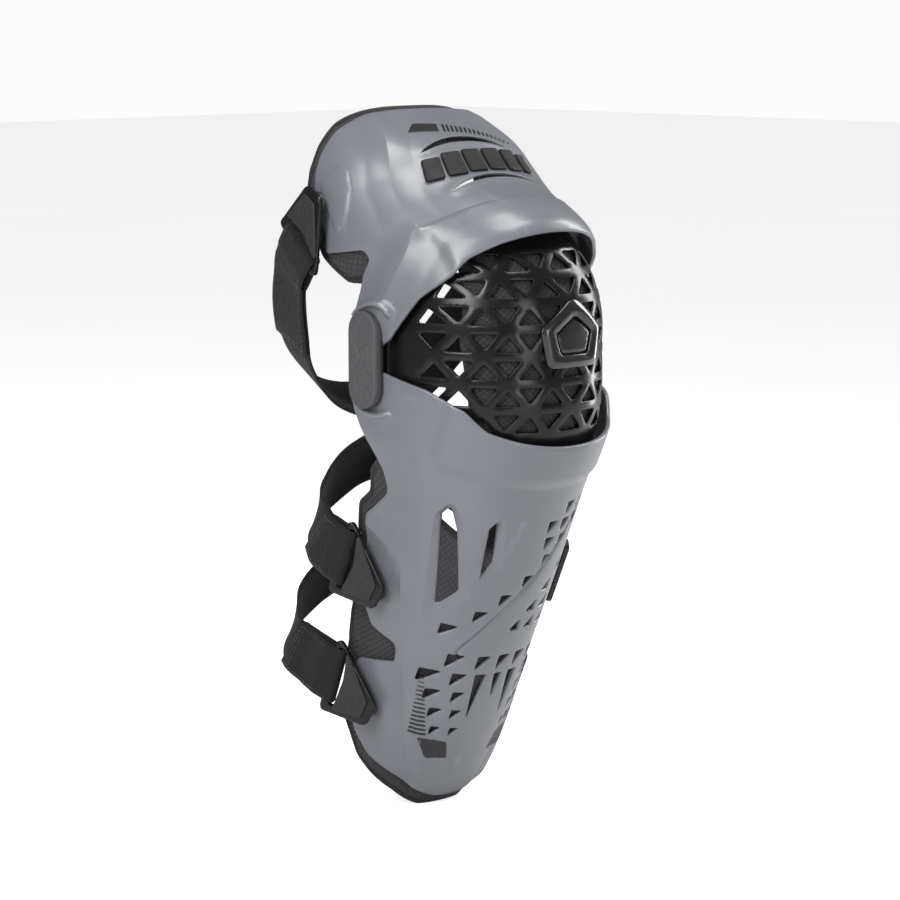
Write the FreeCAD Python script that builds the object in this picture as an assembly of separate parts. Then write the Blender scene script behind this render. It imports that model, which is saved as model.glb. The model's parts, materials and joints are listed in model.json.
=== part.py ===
"""Hinged knee and shin guard for off-road motorcycling: two wrap-round plastic shells, a vented knee cup
between them on double-pivot side hinges, padded liners, and three elastic straps with hook clips.

Row frame: +Z up, the wearer faces -Y, X runs across the knee. The origin lies midway between the four pivots.
Each shell is drawn in its own leg frame: x across, y backwards, h away from the knee along the limb.
"""
import FreeCAD
import Part
import math
import os

V = FreeCAD.Vector
os.makedirs("parts", exist_ok=True)

# ---- driving dimensions (mm, degrees) ----
PIVOT_HALF = 17.5          # half the distance between the thigh pivot and the shin pivot
THIGH_TILT = 33.0          # the thigh axis leans back from vertical
SHIN_TILT = 20.0           # the shin axis leans back, going down
SHELL = 3.0                # shell wall
HINGE_X = 81.5             # outside face of the shell ears
PIN_R = 4.0
RUNNING = 0.05             # radial play of the ears on their pins
COVER_R = 14.2             # end radius of the oval hinge cover
COLLAR = (15.3, 18.0)      # the raised collar round the cover
COLLAR_REACH = {1: (100.0, 30.0), -1: (62.0, 62.0)}  # thigh and shin: how far the collar runs forwards, backwards
EAR_FACE_R = 22.0          # the ears are flat inside and out within this radius of the pivot
CUP_R = 104.0              # knee cup, from the pivot axis to its nose
CUP_A = 75.2               # half width of the knee cup
CUP_POWER = 2.25           # how square the cup's cross-section is (2 = an ellipse)
CUP_WALL = 2.5
CUP_SPAN = 85.5            # the cup's wall runs this many degrees round each way from its nose
CUP_UP = 60.0              # the cup ends this many degrees above the thigh pivot
CUP_DOWN = 48.0
CUP_TUCK = 5.6             # the cup's top curls in by this much to pass inside the thigh shell
CUP_TUCK_AT = (8.0, 44.0)  # degrees above the thigh pivot between which it curls in
STRAP_W = 40.0
STRAP_T = 2.2

# Leg sections: (h, value). Half width, nose ahead of the axis, and where the section is widest.
THIGH = {
    "sign": 1,
    "tilt": -THIGH_TILT,
    "power": [(-25, 2.2), (20, 2.2), (80, 2.3), (110, 2.6), (145, 3.0)],
    "half": [(-25, 81.5), (28, 81.5), (54, 86), (85, 86), (110, 82), (130, 74), (145, 65)],
    "nose": [(-25, 111), (10, 111), (24, 106.5), (40, 97), (60, 84), (80, 75), (100, 68), (120, 57), (145, 42)],
    "wide": [(-25, -3), (25, -6), (70, -8), (145, 0)],
}
SHIN = {
    "sign": -1,
    "tilt": SHIN_TILT,
    "power": [(-25, 2.2), (280, 2.2)],
    "half": [(-25, 81.5), (26, 81.5), (46, 76), (75, 70), (130, 63), (200, 58), (280, 49)],
    "nose": [(-25, 112), (0, 111), (24, 108.5), (34, 106), (100, 105), (180, 101), (240, 96), (280, 87)],
    "wide": [(-25, -3), (22, -8), (60, -26), (110, -36), (200, -40), (280, -42)],
}
SPAN = 1.75                # a section runs this far past its widest point (1 = the widest point)
TAIL = 62.0                # length of straight side wall per unit past the widest point
STATION = 10.0             # spacing of the lofted sections along the limb

# Side-view outlines as (y, h, corner radius).
THIGH_OUTLINE = [
    (-130, 5, 0), (-100, 6, 8), (-84, 5, 10), (-72, 0, 10), (-47, -2, 12), (-14, -13, 6), (2, -13, 12),
    (13, -3, 12), (12, 12, 8), (-7, 26, 10), (-15, 33, 6), (-27, 39, 4), (-26, 46, 3), (3, 60, 3),
    (-4, 72, 8), (-5, 94, 8), (-12, 110, 12), (-20, 121, 16), (-30, 131, 16), (-44, 137, 16), (-130, 138, 0),
]
SHIN_OUTLINE = [
    (-130, 0, 0), (-100, -3, 10), (-86, -5, 10), (-72, -14, 10), (-44, -17, 14), (-14, -14, 6), (4, -13, 12),
    (14, -1, 12), (10, 18, 10), (-25, 50, 14), (-31, 62, 8), (-14, 86, 3), (-18, 100, 12), (-20, 142, 14),
    (-36, 159, 8), (-60, 162, 5), (-61, 174, 4), (-30, 187, 5), (-37, 236, 12), (-54, 249, 16),
    (-80, 258, 20), (-92, 275, 20), (-130, 275, 0),
]
THIGH_LINER_OUTLINE = [
    (-130, 78, 0), (-92, 78, 10), (-62, 66, 14), (-30, 42, 8), (-14, 30, 3), (0, 38, 4), (9, 62, 10),
    (6, 98, 12), (-4, 116, 16), (-14, 129, 16), (-28, 139, 16), (-44, 144, 16), (-130, 145, 0),
]
SHIN_LINER_OUTLINE = [
    (-130, 78, 0), (-92, 78, 10), (-62, 62, 14), (-32, 44, 8), (-19, 42, 4), (-10, 56, 8), (-12, 72, 6),
    (-3, 84, 8), (-14, 164, 30), (-24, 234, 16), (-44, 257, 16), (-74, 269, 20), (-90, 283, 16), (-130, 283, 0),
]
THIGH_PAD_OUTLINE = [(-130, 84, 0), (-60, 84, 6), (-30, 92, 8), (-40, 122, 10), (-130, 130, 0)]
SHIN_PAD_OUTLINE = [(-130, 88, 0), (-66, 88, 10), (-56, 100, 12), (-60, 236, 14), (-80, 262, 12), (-130, 268, 0)]
LINER = (3.6, 7.3)         # depth of the liner's two faces behind the shell's outside
PAD = (7.9, 12.5)
KNEE_LINER = (4.0, 7.5)    # depth of the knee liner's faces behind the cup's outside


def curve(h, points):
    """Smooth monotone interpolation through a few (h, value) points."""
    xs = [p[0] for p in points]
    ys = [p[1] for p in points]
    h = min(max(h, xs[0]), xs[-1])
    slopes = [(ys[i + 1] - ys[i]) / (xs[i + 1] - xs[i]) for i in range(len(xs) - 1)]
    tangents = [slopes[0]]
    for a, b in zip(slopes, slopes[1:]):
        tangents.append(0 if a * b <= 0 else 2 * a * b / (a + b))
    tangents.append(slopes[-1])
    i = max(k for k in range(len(xs) - 1) if xs[k] <= h)
    w = xs[i + 1] - xs[i]
    t = (h - xs[i]) / w
    return (
        (2 * t**3 - 3 * t**2 + 1) * ys[i]
        + (t**3 - 2 * t**2 + t) * w * tangents[i]
        + (3 * t**2 - 2 * t**3) * ys[i + 1]
        + (t**3 - t**2) * w * tangents[i + 1]
    )


def section_point(leg, u, h):
    """(x, y) on a leg section; u 0 is the nose, 1 the widest point, and beyond that the straight side."""
    half, nose, wide = (curve(h, leg[k]) for k in ("half", "nose", "wide"))
    power = 2 / curve(h, leg["power"])
    side = math.copysign(1, u)
    a = min(abs(u), 1) * math.pi / 2
    past = max(abs(u) - 1, 0)
    return (
        side * half * math.sin(a) ** power,
        wide - (nose + wide) * math.cos(a) ** power + past * TAIL,
    )


def offset_point(leg, u, h, depth):
    """A section point moved inwards by depth (negative moves outwards)."""
    step = 0.004
    x0, y0 = section_point(leg, u - step, h)
    x1, y1 = section_point(leg, u + step, h)
    x, y = section_point(leg, u, h)
    length = math.hypot(x1 - x0, y1 - y0)
    nx, ny = -(y1 - y0) / length, (x1 - x0) / length
    return V(x + nx * depth, y + ny * depth, leg["sign"] * h)


def spline(points):
    c = Part.BSplineCurve()
    c.interpolate(points)
    return c.toShape()


def channel(leg, h_low, h_high, outer, inner, span=SPAN, samples=29):
    """The wall between two depths, lofted along the limb."""
    wires = []
    stations = round((h_high - h_low) / STATION) + 1
    for i in range(stations):
        h = h_low + (h_high - h_low) * i / (stations - 1)
        us = [span * (2 * k / (samples - 1) - 1) for k in range(samples)]
        outside = [offset_point(leg, u, h, outer) for u in us]
        inside = [offset_point(leg, u, h, inner) for u in reversed(us)]
        wires.append(Part.Wire([
            spline(outside),
            Part.makeLine(outside[-1], inside[0]),
            spline(inside),
            Part.makeLine(inside[-1], outside[0]),
        ]))
    return Part.makeLoft(wires, True, False)


def rounded_wire(corners):
    """A closed wire through 3-D corners given as (point, radius), with an arc at each rounded corner."""
    edges = []
    ends = []
    n = len(corners)
    for i in range(n):
        p, r = corners[i]
        a = corners[i - 1][0].sub(p)
        b = corners[(i + 1) % n][0].sub(p)
        la, lb = a.Length, b.Length
        a.normalize()
        b.normalize()
        half = a.getAngle(b) / 2
        if r <= 0 or half > math.radians(88):
            ends.append((p, p, None))
            continue
        back = min(r / math.tan(half), 0.49 * la, 0.49 * lb)
        r = back * math.tan(half)
        bis = a.add(b)
        bis.normalize()
        middle = p.add(bis.multiply(r / math.sin(half) - r))
        ends.append((p.add(V(a).multiply(back)), p.add(V(b).multiply(back)), middle))
    for i in range(n):
        start, end, middle = ends[i]
        if middle is not None:
            edges.append(Part.Arc(start, middle, end).toShape())
        following = ends[(i + 1) % n][0]
        if end.distanceToPoint(following) > 1e-6:
            edges.append(Part.makeLine(end, following))
    return Part.Wire(edges)


def side_prism(leg, outline, x_low=-150, x_high=150):
    """A (y, h) outline carried right across the limb."""
    wire = rounded_wire([(V(x_low, y, leg["sign"] * h), r) for y, h, r in outline])
    return Part.Face(wire).extrude(V(x_high - x_low, 0, 0))


def front_prism(leg, outline, y_low=-140, y_high=-30):
    """An (x, h) outline carried backwards through the nose of a shell."""
    wire = rounded_wire([(V(x, y_low, leg["sign"] * h), r) for x, h, r in outline])
    return Part.Face(wire).extrude(V(0, y_high - y_low, 0))


def x_cylinder(radius, x_low, x_high, y=0.0, z=0.0):
    return Part.makeCylinder(radius, x_high - x_low, V(x_low, y, z), V(1, 0, 0))


def both_sides(shape):
    return [shape, shape.mirror(V(0, 0, 0), V(1, 0, 0))]


def to_row(leg, shape):
    """From a leg frame to the row frame."""
    placed = shape.copy()
    placed.rotate(V(0, 0, 0), V(1, 0, 0), leg["tilt"])
    placed.translate(V(0, 0, leg["sign"] * PIVOT_HALF))
    return placed


def save(name, *shapes):
    solids = [s for shape in shapes for s in shape.Solids]
    for s in solids:
        if s.Volume < 0:
            s.reverse()
    Part.makeCompound(solids).exportStep("parts/" + name + ".step")
    print(name, len(solids), round(sum(s.Volume for s in solids) / 1000, 2), "cm3")


# ---- shells ----
def collar(sign):
    """The raised lip on each ear that wraps round the end of the hinge cover."""
    inner, outer = COLLAR
    ahead, behind = COLLAR_REACH[sign]
    a0 = math.radians(90 - behind)
    a1 = math.radians(90 + ahead)

    def at(radius, angle):
        return V(HINGE_X - 0.8, radius * math.cos(angle), sign * radius * math.sin(angle))

    mid = (a0 + a1) / 2
    face = Part.Face(Part.Wire([
        Part.Arc(at(outer, a0), at(outer, mid), at(outer, a1)).toShape(),
        Part.makeLine(at(outer, a1), at(inner, a1)),
        Part.Arc(at(inner, a1), at(inner, mid), at(inner, a0)).toShape(),
        Part.makeLine(at(inner, a0), at(outer, a0)),
    ]))
    return face.extrude(V(4.3, 0, 0))


def shell(leg, outline, h_low, h_high):
    body = channel(leg, h_low, h_high, 0, SHELL)
    body = body.common(side_prism(leg, outline))
    ear_faces = [(HINGE_X - SHELL - 4, HINGE_X - SHELL), (HINGE_X, HINGE_X + 4)]
    slabs = [x_cylinder(EAR_FACE_R, low, high) for low, high in ear_faces]
    body = body.cut([s for slab in slabs for s in both_sides(slab)])
    for lip in both_sides(collar(leg["sign"])):
        body = body.fuse(lip)
    for hole in both_sides(x_cylinder(PIN_R + RUNNING, 70, 100)):
        body = body.cut(hole)
    return body


def shin_vents():
    """Two long slots each side of the shin, then rows of small triangular vents down its front."""
    cuts = []
    for side in (1, -1):
        for x, h, w, tall in ((-57, 58, 10, 52), (-33, 68, 6, 34)):
            pts = [(x + 2, h + 10, 1), (x + 6, h, 1), (x + w, h + tall * 0.8, 1), (x + 1, h + tall, 1)]
            cuts.append([(side * a, b, r) for a, b, r in pts])
    for h in range(190, 250, 12):
        reach = 24 - (h - 190) / 4
        for x in (-reach, -reach / 2, 0, reach / 2, reach):
            cuts.append([(x - 3.5, h, 1), (x + 4, h, 1), (x - 1, h + 8, 1)])
    return cuts


def thigh_vents():
    """Two slots, above and below the badge."""
    return [
        [(-36, 97, 2), (0, 101, 20), (36, 97, 2), (30, 94, 1), (0, 97, 20), (-30, 94, 1)],
        [(-34, 57, 1), (0, 60, 20), (34, 57, 1), (28, 54, 1), (0, 57, 20), (-28, 54, 1)],
    ]


def vented(leg, body, outlines):
    return body.cut([front_prism(leg, pts) for pts in outlines])


def liner(leg, outline, h_low, h_high):
    return channel(leg, h_low, h_high, *LINER, span=1.95).common(side_prism(leg, outline))


def pad(leg, outline, h_low, h_high):
    return channel(leg, h_low, h_high, *PAD, span=0.95).common(side_prism(leg, outline))


# ---- knee cup and hinges ----
def cup_profile(radius, half):
    """Half section of the cup in the plane of a pivot: x across, y forward."""
    pts = []
    for k in range(-16, 17):
        a = math.radians(k / 16 * CUP_SPAN)
        p = 2 / CUP_POWER
        pts.append(V(math.copysign(half * abs(math.sin(a)) ** p, a), -radius * math.cos(a) ** p, 0))
    return pts


def cup_section(outer, inner, degrees):
    """The cup's wall cut by a plane through the thigh pivot, tilted up from level."""
    low, high = CUP_TUCK_AT
    t = min(max((degrees - low) / (high - low), 0), 1)
    shrink = 1 - CUP_TUCK * t * t * (3 - 2 * t) / CUP_R
    a = math.radians(degrees)
    rows = [cup_profile(CUP_R - outer, CUP_A - outer), list(reversed(cup_profile(CUP_R - inner, CUP_A - inner)))]
    out_pts, in_pts = [
        [V(p.x, p.y * shrink * math.cos(a), PIVOT_HALF - p.y * shrink * math.sin(a)) for p in row] for row in rows
    ]
    return Part.Wire([
        spline(out_pts),
        Part.makeLine(out_pts[-1], in_pts[0]),
        spline(in_pts),
        Part.makeLine(in_pts[-1], out_pts[0]),
    ])


def cup_wall(outer, inner):
    """Curled in above the thigh pivot, straight down between the pivots, and swept about the shin pivot."""
    face = Part.Face(cup_section(outer, inner, 0))
    middle = face.extrude(V(0, 0, -2 * PIVOT_HALF))
    stations = [CUP_UP * k / 8 for k in range(9)]
    upper = Part.makeLoft([cup_section(outer, inner, d) for d in stations], True, False)
    low = face.copy()
    low.translate(V(0, 0, -2 * PIVOT_HALF))
    lower = low.revolve(V(0, 0, -PIVOT_HALF), V(1, 0, 0), CUP_DOWN)
    return middle, upper, lower


def stadium(radius, x_low, x_high):
    """An oval plate round both pivots of one hinge."""
    p = PIVOT_HALF
    face = Part.Face(Part.Wire([
        Part.makeLine(V(x_low, -radius, -p), V(x_low, -radius, p)),
        Part.Arc(V(x_low, -radius, p), V(x_low, 0, p + radius), V(x_low, radius, p)).toShape(),
        Part.makeLine(V(x_low, radius, p), V(x_low, radius, -p)),
        Part.Arc(V(x_low, radius, -p), V(x_low, 0, -p - radius), V(x_low, -radius, -p)).toShape(),
    ]))
    return face.extrude(V(x_high - x_low, 0, 0))


def pivot_holes(shape, radius):
    for z in (PIVOT_HALF, -PIVOT_HALF):
        shape = shape.cut(x_cylinder(radius, 60, 110, 0, z))
    return shape


OUTER_PLATE = (HINGE_X + 0.4, HINGE_X + 2.2)
INNER_PLATE = (CUP_A, CUP_A + 2.0)
INNER_WASHER = (CUP_A + 2.0, HINGE_X - SHELL - 0.5)
OUTER_WASHER = (HINGE_X + 0.05, HINGE_X + 0.4)
EAR_INSIDE = CUP_A - CUP_WALL - 0.6
COVER_FACE = (89.6, 86.4)  # how far out the cover's face is at its front edge and at its rear edge


def knee_cup():
    middle, upper, lower = cup_wall(0, CUP_WALL)
    cup = middle.fuse([upper, lower] + both_sides(stadium(COVER_R - 1, EAR_INSIDE, CUP_A)))
    holes = [x_cylinder(PIN_R, -110, 110, 0, z) for z in (PIVOT_HALF, -PIVOT_HALF)]
    return cup.cut(holes + [front_prism({"sign": 1}, pts, -140, -20) for pts in cup_vents()])


def cup_vents():
    """The front field of triangular vents, alternately point up and point down, clear of the emblem."""
    cuts = []
    pitch, tall, half = 21.0, 15.0, 6.0
    for row in range(-2, 4):
        z = row * (tall + 4.5) - 6
        for col in range(-3, 4):
            x = col * pitch / 2
            if abs(x) + abs(row - 0.5) * 6 > 46 or (abs(x) < 12 and row in (0, 1)):
                continue
            base, tip = (z, z + 0.75 * tall) if (row + col) % 2 == 0 else (z + 0.75 * tall, z)
            cuts.append([(x - half, base, 0), (x + half, base, 0), (x, tip, 0)])
    return cuts


def knee_liner():
    """The soft mesh pad held behind the cup's openings, as (x, height, corner radius) seen from the front."""
    outline = [(-58, -62, 20), (58, -62, 20), (64, 20, 30), (54, 84, 20), (-54, 84, 20), (-64, 20, 30)]
    middle, upper, lower = cup_wall(*KNEE_LINER)
    wall = middle.fuse([upper, lower]).removeSplitter()
    return wall.common(front_prism({"sign": 1}, outline, -140, -14))


def knee_emblem():
    """A plain kite-shaped plate bonded on the nose of the cup."""
    kite = [(0, 30, 3), (11, 8, 3), (0, -12, 3), (-11, 8, 3)]
    middle, upper, _ = cup_wall(-1.6, 0)
    return middle.fuse(upper).removeSplitter().common(front_prism({"sign": 1}, kite, -140, -20))


def thigh_badge():
    """A raised plate on the front of the thigh shell."""
    outline = [(-50, 66, 3), (-44, 90, 3), (44, 90, 3), (50, 66, 3), (0, 70, 30)]
    plate = channel(THIGH, 55, 102, -1.8, 0.2, span=0.9)
    return plate.common(front_prism(THIGH, outline, -140, -20))


def hinge_cover():
    """The oval cap; its face leans back a little, so it is thicker at the front."""
    cap = stadium(COVER_R, OUTER_PLATE[1], 100)
    front, rear = COVER_FACE
    wedge = Part.Face(Part.makePolygon([
        V(front, -COVER_R - 5, -60), V(120, -COVER_R - 5, -60), V(120, COVER_R + 5, -60),
        V(rear, COVER_R + 5, -60), V(front, -COVER_R - 5, -60),
    ])).extrude(V(0, 0, 120))
    return cap.cut(wedge)


def pivot_pins():
    pins = []
    for z in (PIVOT_HALF, -PIVOT_HALF):
        pin = x_cylinder(PIN_R, EAR_INSIDE, OUTER_PLATE[1], 0, z)
        head = x_cylinder(PIN_R + 2.5, EAR_INSIDE - 1.8, EAR_INSIDE, 0, z)
        pins.append(pin.fuse(head).removeSplitter())
    return pins


def pivot_washers():
    rings = []
    for z in (PIVOT_HALF, -PIVOT_HALF):
        for low, high in (INNER_WASHER, OUTER_WASHER):
            ring = x_cylinder(9, low, high, 0, z).cut(x_cylinder(PIN_R, low - 1, high + 1, 0, z))
            rings.append(ring)
    return rings


# ---- clips, catches and straps ----
# Clip shapes as (a, b, corner radius): a runs across the strap, b away from it towards the catch.
CLIP_OUTLINE = [(-4, -2, 5), (27, 42, 6), (45, 38, 6), (53, -2, 5)]
CLIP_SLOT = [(3.8, 2.5, 1), (3.8, 9, 1), (24.2, 11.5, 20), (44.6, 9, 1), (44.6, 2.5, 1)]
CLIP_FACE = [(2, 9, 2), (24.5, 14, 16), (47, 9, 2), (41, 34, 3), (28, 36, 3)]
CLIP_T = 3.4
CLIP_FACE_T = 1.2
CATCH_AT = (35.0, 31.0)    # the stud the clip snaps over
CATCH_R = 3.5
CATCH_REACH = 1.6          # how far the stud enters the clip
FLANGE_R = 7.0
RIVET_R = 2.2
LOOP = 13.0                # how far the strap end's doubled loop reaches behind the bar

# Where each clip sits in its leg frame: its lower corner, its turn in its own plane, the yaw of that plane about
# the limb, and its lean inwards along the strap's width.
SPOTS = {
    "thigh": {"leg": THIGH, "at": (-93.5, 10.5, 49), "turn": 18.0, "yaw": -5.0, "lean": 8.0},
    "upper_calf": {"leg": SHIN, "at": (-70.5, -7, 96), "turn": 2.0, "yaw": 3.0, "lean": 0.0},
    "lower_calf": {"leg": SHIN, "at": (-65.2, -19, 179), "turn": 0.0, "yaw": 5.0, "lean": 0.0},
}


def clip_directions(spot):
    """Along (across the strap), ahead (towards the catch) and outward, in the leg frame."""
    yaw, turn, lean = (math.radians(spot[k]) for k in ("yaw", "turn", "lean"))
    level = V(math.sin(yaw), -math.cos(yaw), 0)
    out = V(-math.cos(yaw), -math.sin(yaw), 0)
    axis = V(0, 0, spot["leg"]["sign"])
    along = V(axis).multiply(math.cos(turn)).sub(V(level).multiply(math.sin(turn)))
    ahead = V(level).multiply(math.cos(turn)).add(V(axis).multiply(math.sin(turn)))
    leant = V(along).multiply(math.cos(lean)).sub(V(out).multiply(math.sin(lean)))
    return leant, ahead, V(out).multiply(math.cos(lean)).add(V(along).multiply(math.sin(lean)))


def on_clip(spot, a, b, c):
    """A point in clip coordinates; c runs outwards from the clip's underside."""
    along, ahead, out = clip_directions(spot)
    x, y, h = spot["at"]
    origin = V(x, y, spot["leg"]["sign"] * h)
    return origin.add(V(along).multiply(a)).add(V(ahead).multiply(b)).add(V(out).multiply(c))


def clip_plate(spot, outline, low, high):
    wire = rounded_wire([(on_clip(spot, a, b, low), r) for a, b, r in outline])
    return Part.Face(wire).extrude(clip_directions(spot)[2].multiply(high - low))


def clip_post(spot, radius, low, high, at=CATCH_AT):
    return Part.makeCylinder(radius, high - low, on_clip(spot, *at, low), clip_directions(spot)[2])


def clip_body(spot):
    plate = clip_plate(spot, CLIP_OUTLINE, 0, CLIP_T)
    return plate.cut([
        clip_plate(spot, CLIP_SLOT, -1, CLIP_T + 1),
        clip_post(spot, CATCH_R + RUNNING, -1, CATCH_REACH + 0.2),
    ])


def clip_face(spot):
    """The softer inlay bonded on top of the clip."""
    return clip_plate(spot, CLIP_FACE, CLIP_T, CLIP_T + CLIP_FACE_T)


def catch(spot, body):
    """The stud the clip snaps over, its flange seated on the shell, and its shank through the wall."""
    stud = clip_post(spot, CATCH_R, -3, CATCH_REACH)
    flange = outermost(clip_post(spot, FLANGE_R, -14, -0.3).cut(body), spot)
    shank = clip_post(spot, RIVET_R, -12, -2)
    return stud.fuse([flange, shank]).removeSplitter()


def outermost(shape, spot):
    return max(shape.Solids, key=lambda s: s.CenterOfMass.dot(clip_directions(spot)[2]))


def strap_loop(spot):
    """The strap's end folded round the clip's bar: a layer outside, a layer inside, joined round the bar."""
    top, low = CLIP_T + 0.3, -0.3
    layers = [
        (7.4, top + STRAP_T, 2.4), (-LOOP, top + STRAP_T, 0), (-LOOP, top, 0), (5.2, top, 0.5),
        (5.2, low, 0.5), (-LOOP, low, 0), (-LOOP, low - STRAP_T, 0), (7.4, low - STRAP_T, 2.4),
    ]
    wire = rounded_wire([(on_clip(spot, 4.5, b, c), r) for b, c, r in layers])
    return Part.Face(wire).extrude(clip_directions(spot)[0].multiply(STRAP_W - 1))


def band(spine, width, thick):
    """A strap along a spine of (centre point, width direction) pairs."""
    c = Part.BSplineCurve()
    c.interpolate([p for p, _ in spine])
    knots = c.getKnots()
    wires = []
    last = len(spine) - 2
    for i in range(last + 1):
        for k in range(4 if i == last else 3):
            t = knots[i] + k / 3 * (knots[i + 1] - knots[i])
            wires.append(band_section(c, t, spine, i, k / 3, width, thick))
    return Part.makeLoft(wires, True, False)


def band_section(c, t, spine, i, f, width, thick):
    """The strap's rectangular section at parameter t of its centre line."""
    tangent = c.tangent(t)[0]
    w = V(spine[i][1]).multiply(1 - f).add(V(spine[i + 1][1]).multiply(f))
    w = w.sub(V(tangent).multiply(w.dot(tangent)))
    w.normalize()
    n = tangent.cross(w)
    n.normalize()
    w.multiply(width / 2)
    n.multiply(thick / 2)
    p = c.value(t)
    corners = [p.add(w).add(n), p.sub(w).add(n), p.sub(w).sub(n), p.add(w).sub(n)]
    return Part.makePolygon(corners + [corners[0]])


# Straps in their leg frames. "path" is the centre line behind the leg as (x, y, h, lean), where lean is how far
# the width direction tips backwards per unit along the limb; "wrap" then carries the strap forwards over the
# shell, at these (section position, h).
STRAPS = {
    "thigh": {
        "path": [(-77, 66, 40, 0.32), (-64, 84, 26, 0.36), (-42, 99, 10, 0.42), (-16, 107, 2, 0.45),
                 (10, 107, 0, 0.42), (36, 98, 6, 0.34), (60, 76, 21, 0.22), (79, 46, 40, 0.1)],
        "wrap": [(1.35, 56), (1.15, 63), (0.98, 68)],
    },
    "upper_calf": {
        "path": [(-64, 32, 111, 0), (-50, 41, 99, 0), (-28, 46, 86, 0), (-2, 48, 79, 0), (24, 44, 80, 0),
                 (46, 32, 90, 0), (61, 14, 101, 0)],
        "wrap": [(1.3, 109), (1.0, 113), (0.82, 114), (0.64, 114)],
    },
    "lower_calf": {
        "path": [(-66, 22, 200, 0), (-56, 35, 187, 0), (-34, 42, 170, 0), (-6, 44, 160, 0), (22, 40, 162, 0),
                 (44, 28, 172, 0), (57, 8, 184, 0)],
        "wrap": [(1.4, 193), (1.1, 198), (0.9, 200), (0.72, 200)],
    },
}
WRAP_GAP = 0.6
STRAP_START = (4.4, 9.5)   # the strap begins this far behind the clip's loop, clear of it as the clip swivels


def strap(name):
    spec = STRAPS[name]
    spot = SPOTS[name]
    leg = spot["leg"]
    middle = 4 + STRAP_W / 2
    along = clip_directions(spot)[0]
    spine = [(on_clip(spot, middle, -LOOP - d, -0.3 - STRAP_T / 2), along) for d in STRAP_START]
    for x, y, h, lean in spec["path"]:
        spine.append((V(x, y, leg["sign"] * h), V(0, lean, leg["sign"])))
    for u, h in spec["wrap"]:
        depth = -WRAP_GAP - STRAP_T / 2
        across = offset_point(leg, u, h + 6, depth).sub(offset_point(leg, u, h - 6, depth))
        spine.append((offset_point(leg, u, h, depth), across.normalize()))
    return band(spine, STRAP_W, STRAP_T)


def anchor_frame(name):
    """Foot, outward normal and width direction on the shell where the strap's far end is fixed."""
    leg = SPOTS[name]["leg"]
    u, h = STRAPS[name]["wrap"][-1]
    foot = offset_point(leg, u, h, 0)
    axis = offset_point(leg, u, h + 6, 0).sub(offset_point(leg, u, h - 6, 0)).normalize()
    level = offset_point(leg, u, h, -1).sub(foot)
    out = level.sub(V(axis).multiply(level.dot(axis))).normalize()
    return foot, out, axis


def anchor_plate(name):
    """A moulded bar across the strap's end."""
    foot, out, axis = anchor_frame(name)
    side = axis.cross(out)
    base = foot.add(V(out).multiply(WRAP_GAP + STRAP_T + 0.6))
    corners = [(-25, -6), (-20, 6), (20, 6), (25, -6)]
    wire = rounded_wire([(base.add(V(axis).multiply(a)).add(V(side).multiply(b)), 4) for a, b in corners])
    return Part.Face(wire).extrude(V(out).multiply(3.0))


def anchor_rivets(name):
    """Two rivets through the bar, the strap and the shell."""
    foot, out, axis = anchor_frame(name)
    rivets = []
    for a in (-15, 15):
        start = foot.add(V(axis).multiply(a)).sub(V(out).multiply(6.5))
        shank = Part.makeCylinder(RIVET_R, 12.6, start, out)
        low_head = Part.makeCylinder(RIVET_R + 2, 1.5, start, out)
        top = start.add(V(out).multiply(12.4))
        rivets.append(shank.fuse([low_head, Part.makeCylinder(RIVET_R + 2, 1.2, top, out)]).removeSplitter())
    return rivets


def main():
    thigh = vented(THIGH, shell(THIGH, THIGH_OUTLINE, -20, 140), thigh_vents())
    shin = vented(SHIN, shell(SHIN, SHIN_OUTLINE, -20, 280), shin_vents())
    shells = {"thigh": thigh, "upper_calf": shin, "lower_calf": shin}
    fixings = {"thigh": [], "shin": []}
    for name, spot in SPOTS.items():
        leg = spot["leg"]
        post = catch(spot, shells[name])
        rivets = anchor_rivets(name)
        fixings["thigh" if leg is THIGH else "shin"] += [post] + rivets
        save(name + "_clip", to_row(leg, clip_body(spot)))
        save(name + "_clip_face", to_row(leg, clip_face(spot)))
        save(name + "_strap_loop", to_row(leg, strap_loop(spot)))
        save(name + "_catch", to_row(leg, post))
        save(name + "_strap", to_row(leg, strap(name).cut(rivets)))
        save(name + "_strap_anchor", to_row(leg, anchor_plate(name).cut(rivets)))
        save(name + "_anchor_rivets", *[to_row(leg, r) for r in rivets])
    save("thigh_shell", to_row(THIGH, thigh.cut(fixings["thigh"])))
    save("shin_shell", to_row(SHIN, shin.cut(fixings["shin"])))
    save("thigh_liner", to_row(THIGH, liner(THIGH, THIGH_LINER_OUTLINE, 25, 142).cut(fixings["thigh"])))
    save("shin_liner", to_row(SHIN, liner(SHIN, SHIN_LINER_OUTLINE, 38, 283).cut(fixings["shin"])))
    save("thigh_pad", to_row(THIGH, pad(THIGH, THIGH_PAD_OUTLINE, 80, 136).cut(fixings["thigh"])))
    save("shin_pad", to_row(SHIN, pad(SHIN, SHIN_PAD_OUTLINE, 84, 270).cut(fixings["shin"])))
    save("thigh_badge", to_row(THIGH, thigh_badge().cut(thigh)))
    save("knee_cup", knee_cup())
    save("knee_liner", knee_liner())
    save("knee_emblem", knee_emblem())
    pairs = {
        "hinge_inner_link": [pivot_holes(stadium(COVER_R - 1, *INNER_PLATE), PIN_R)],
        "hinge_outer_link": [pivot_holes(stadium(COVER_R - 0.4, *OUTER_PLATE), PIN_R)],
        "hinge_cover": [hinge_cover()],
        "pivot_rivets": pivot_pins(),
        "pivot_washers": pivot_washers(),
    }
    for name, shapes in pairs.items():
        save("right_" + name, *shapes)
        save("left_" + name, *[s.mirror(V(0, 0, 0), V(1, 0, 0)) for s in shapes])


if __name__ == "__main__":
    main()
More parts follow.
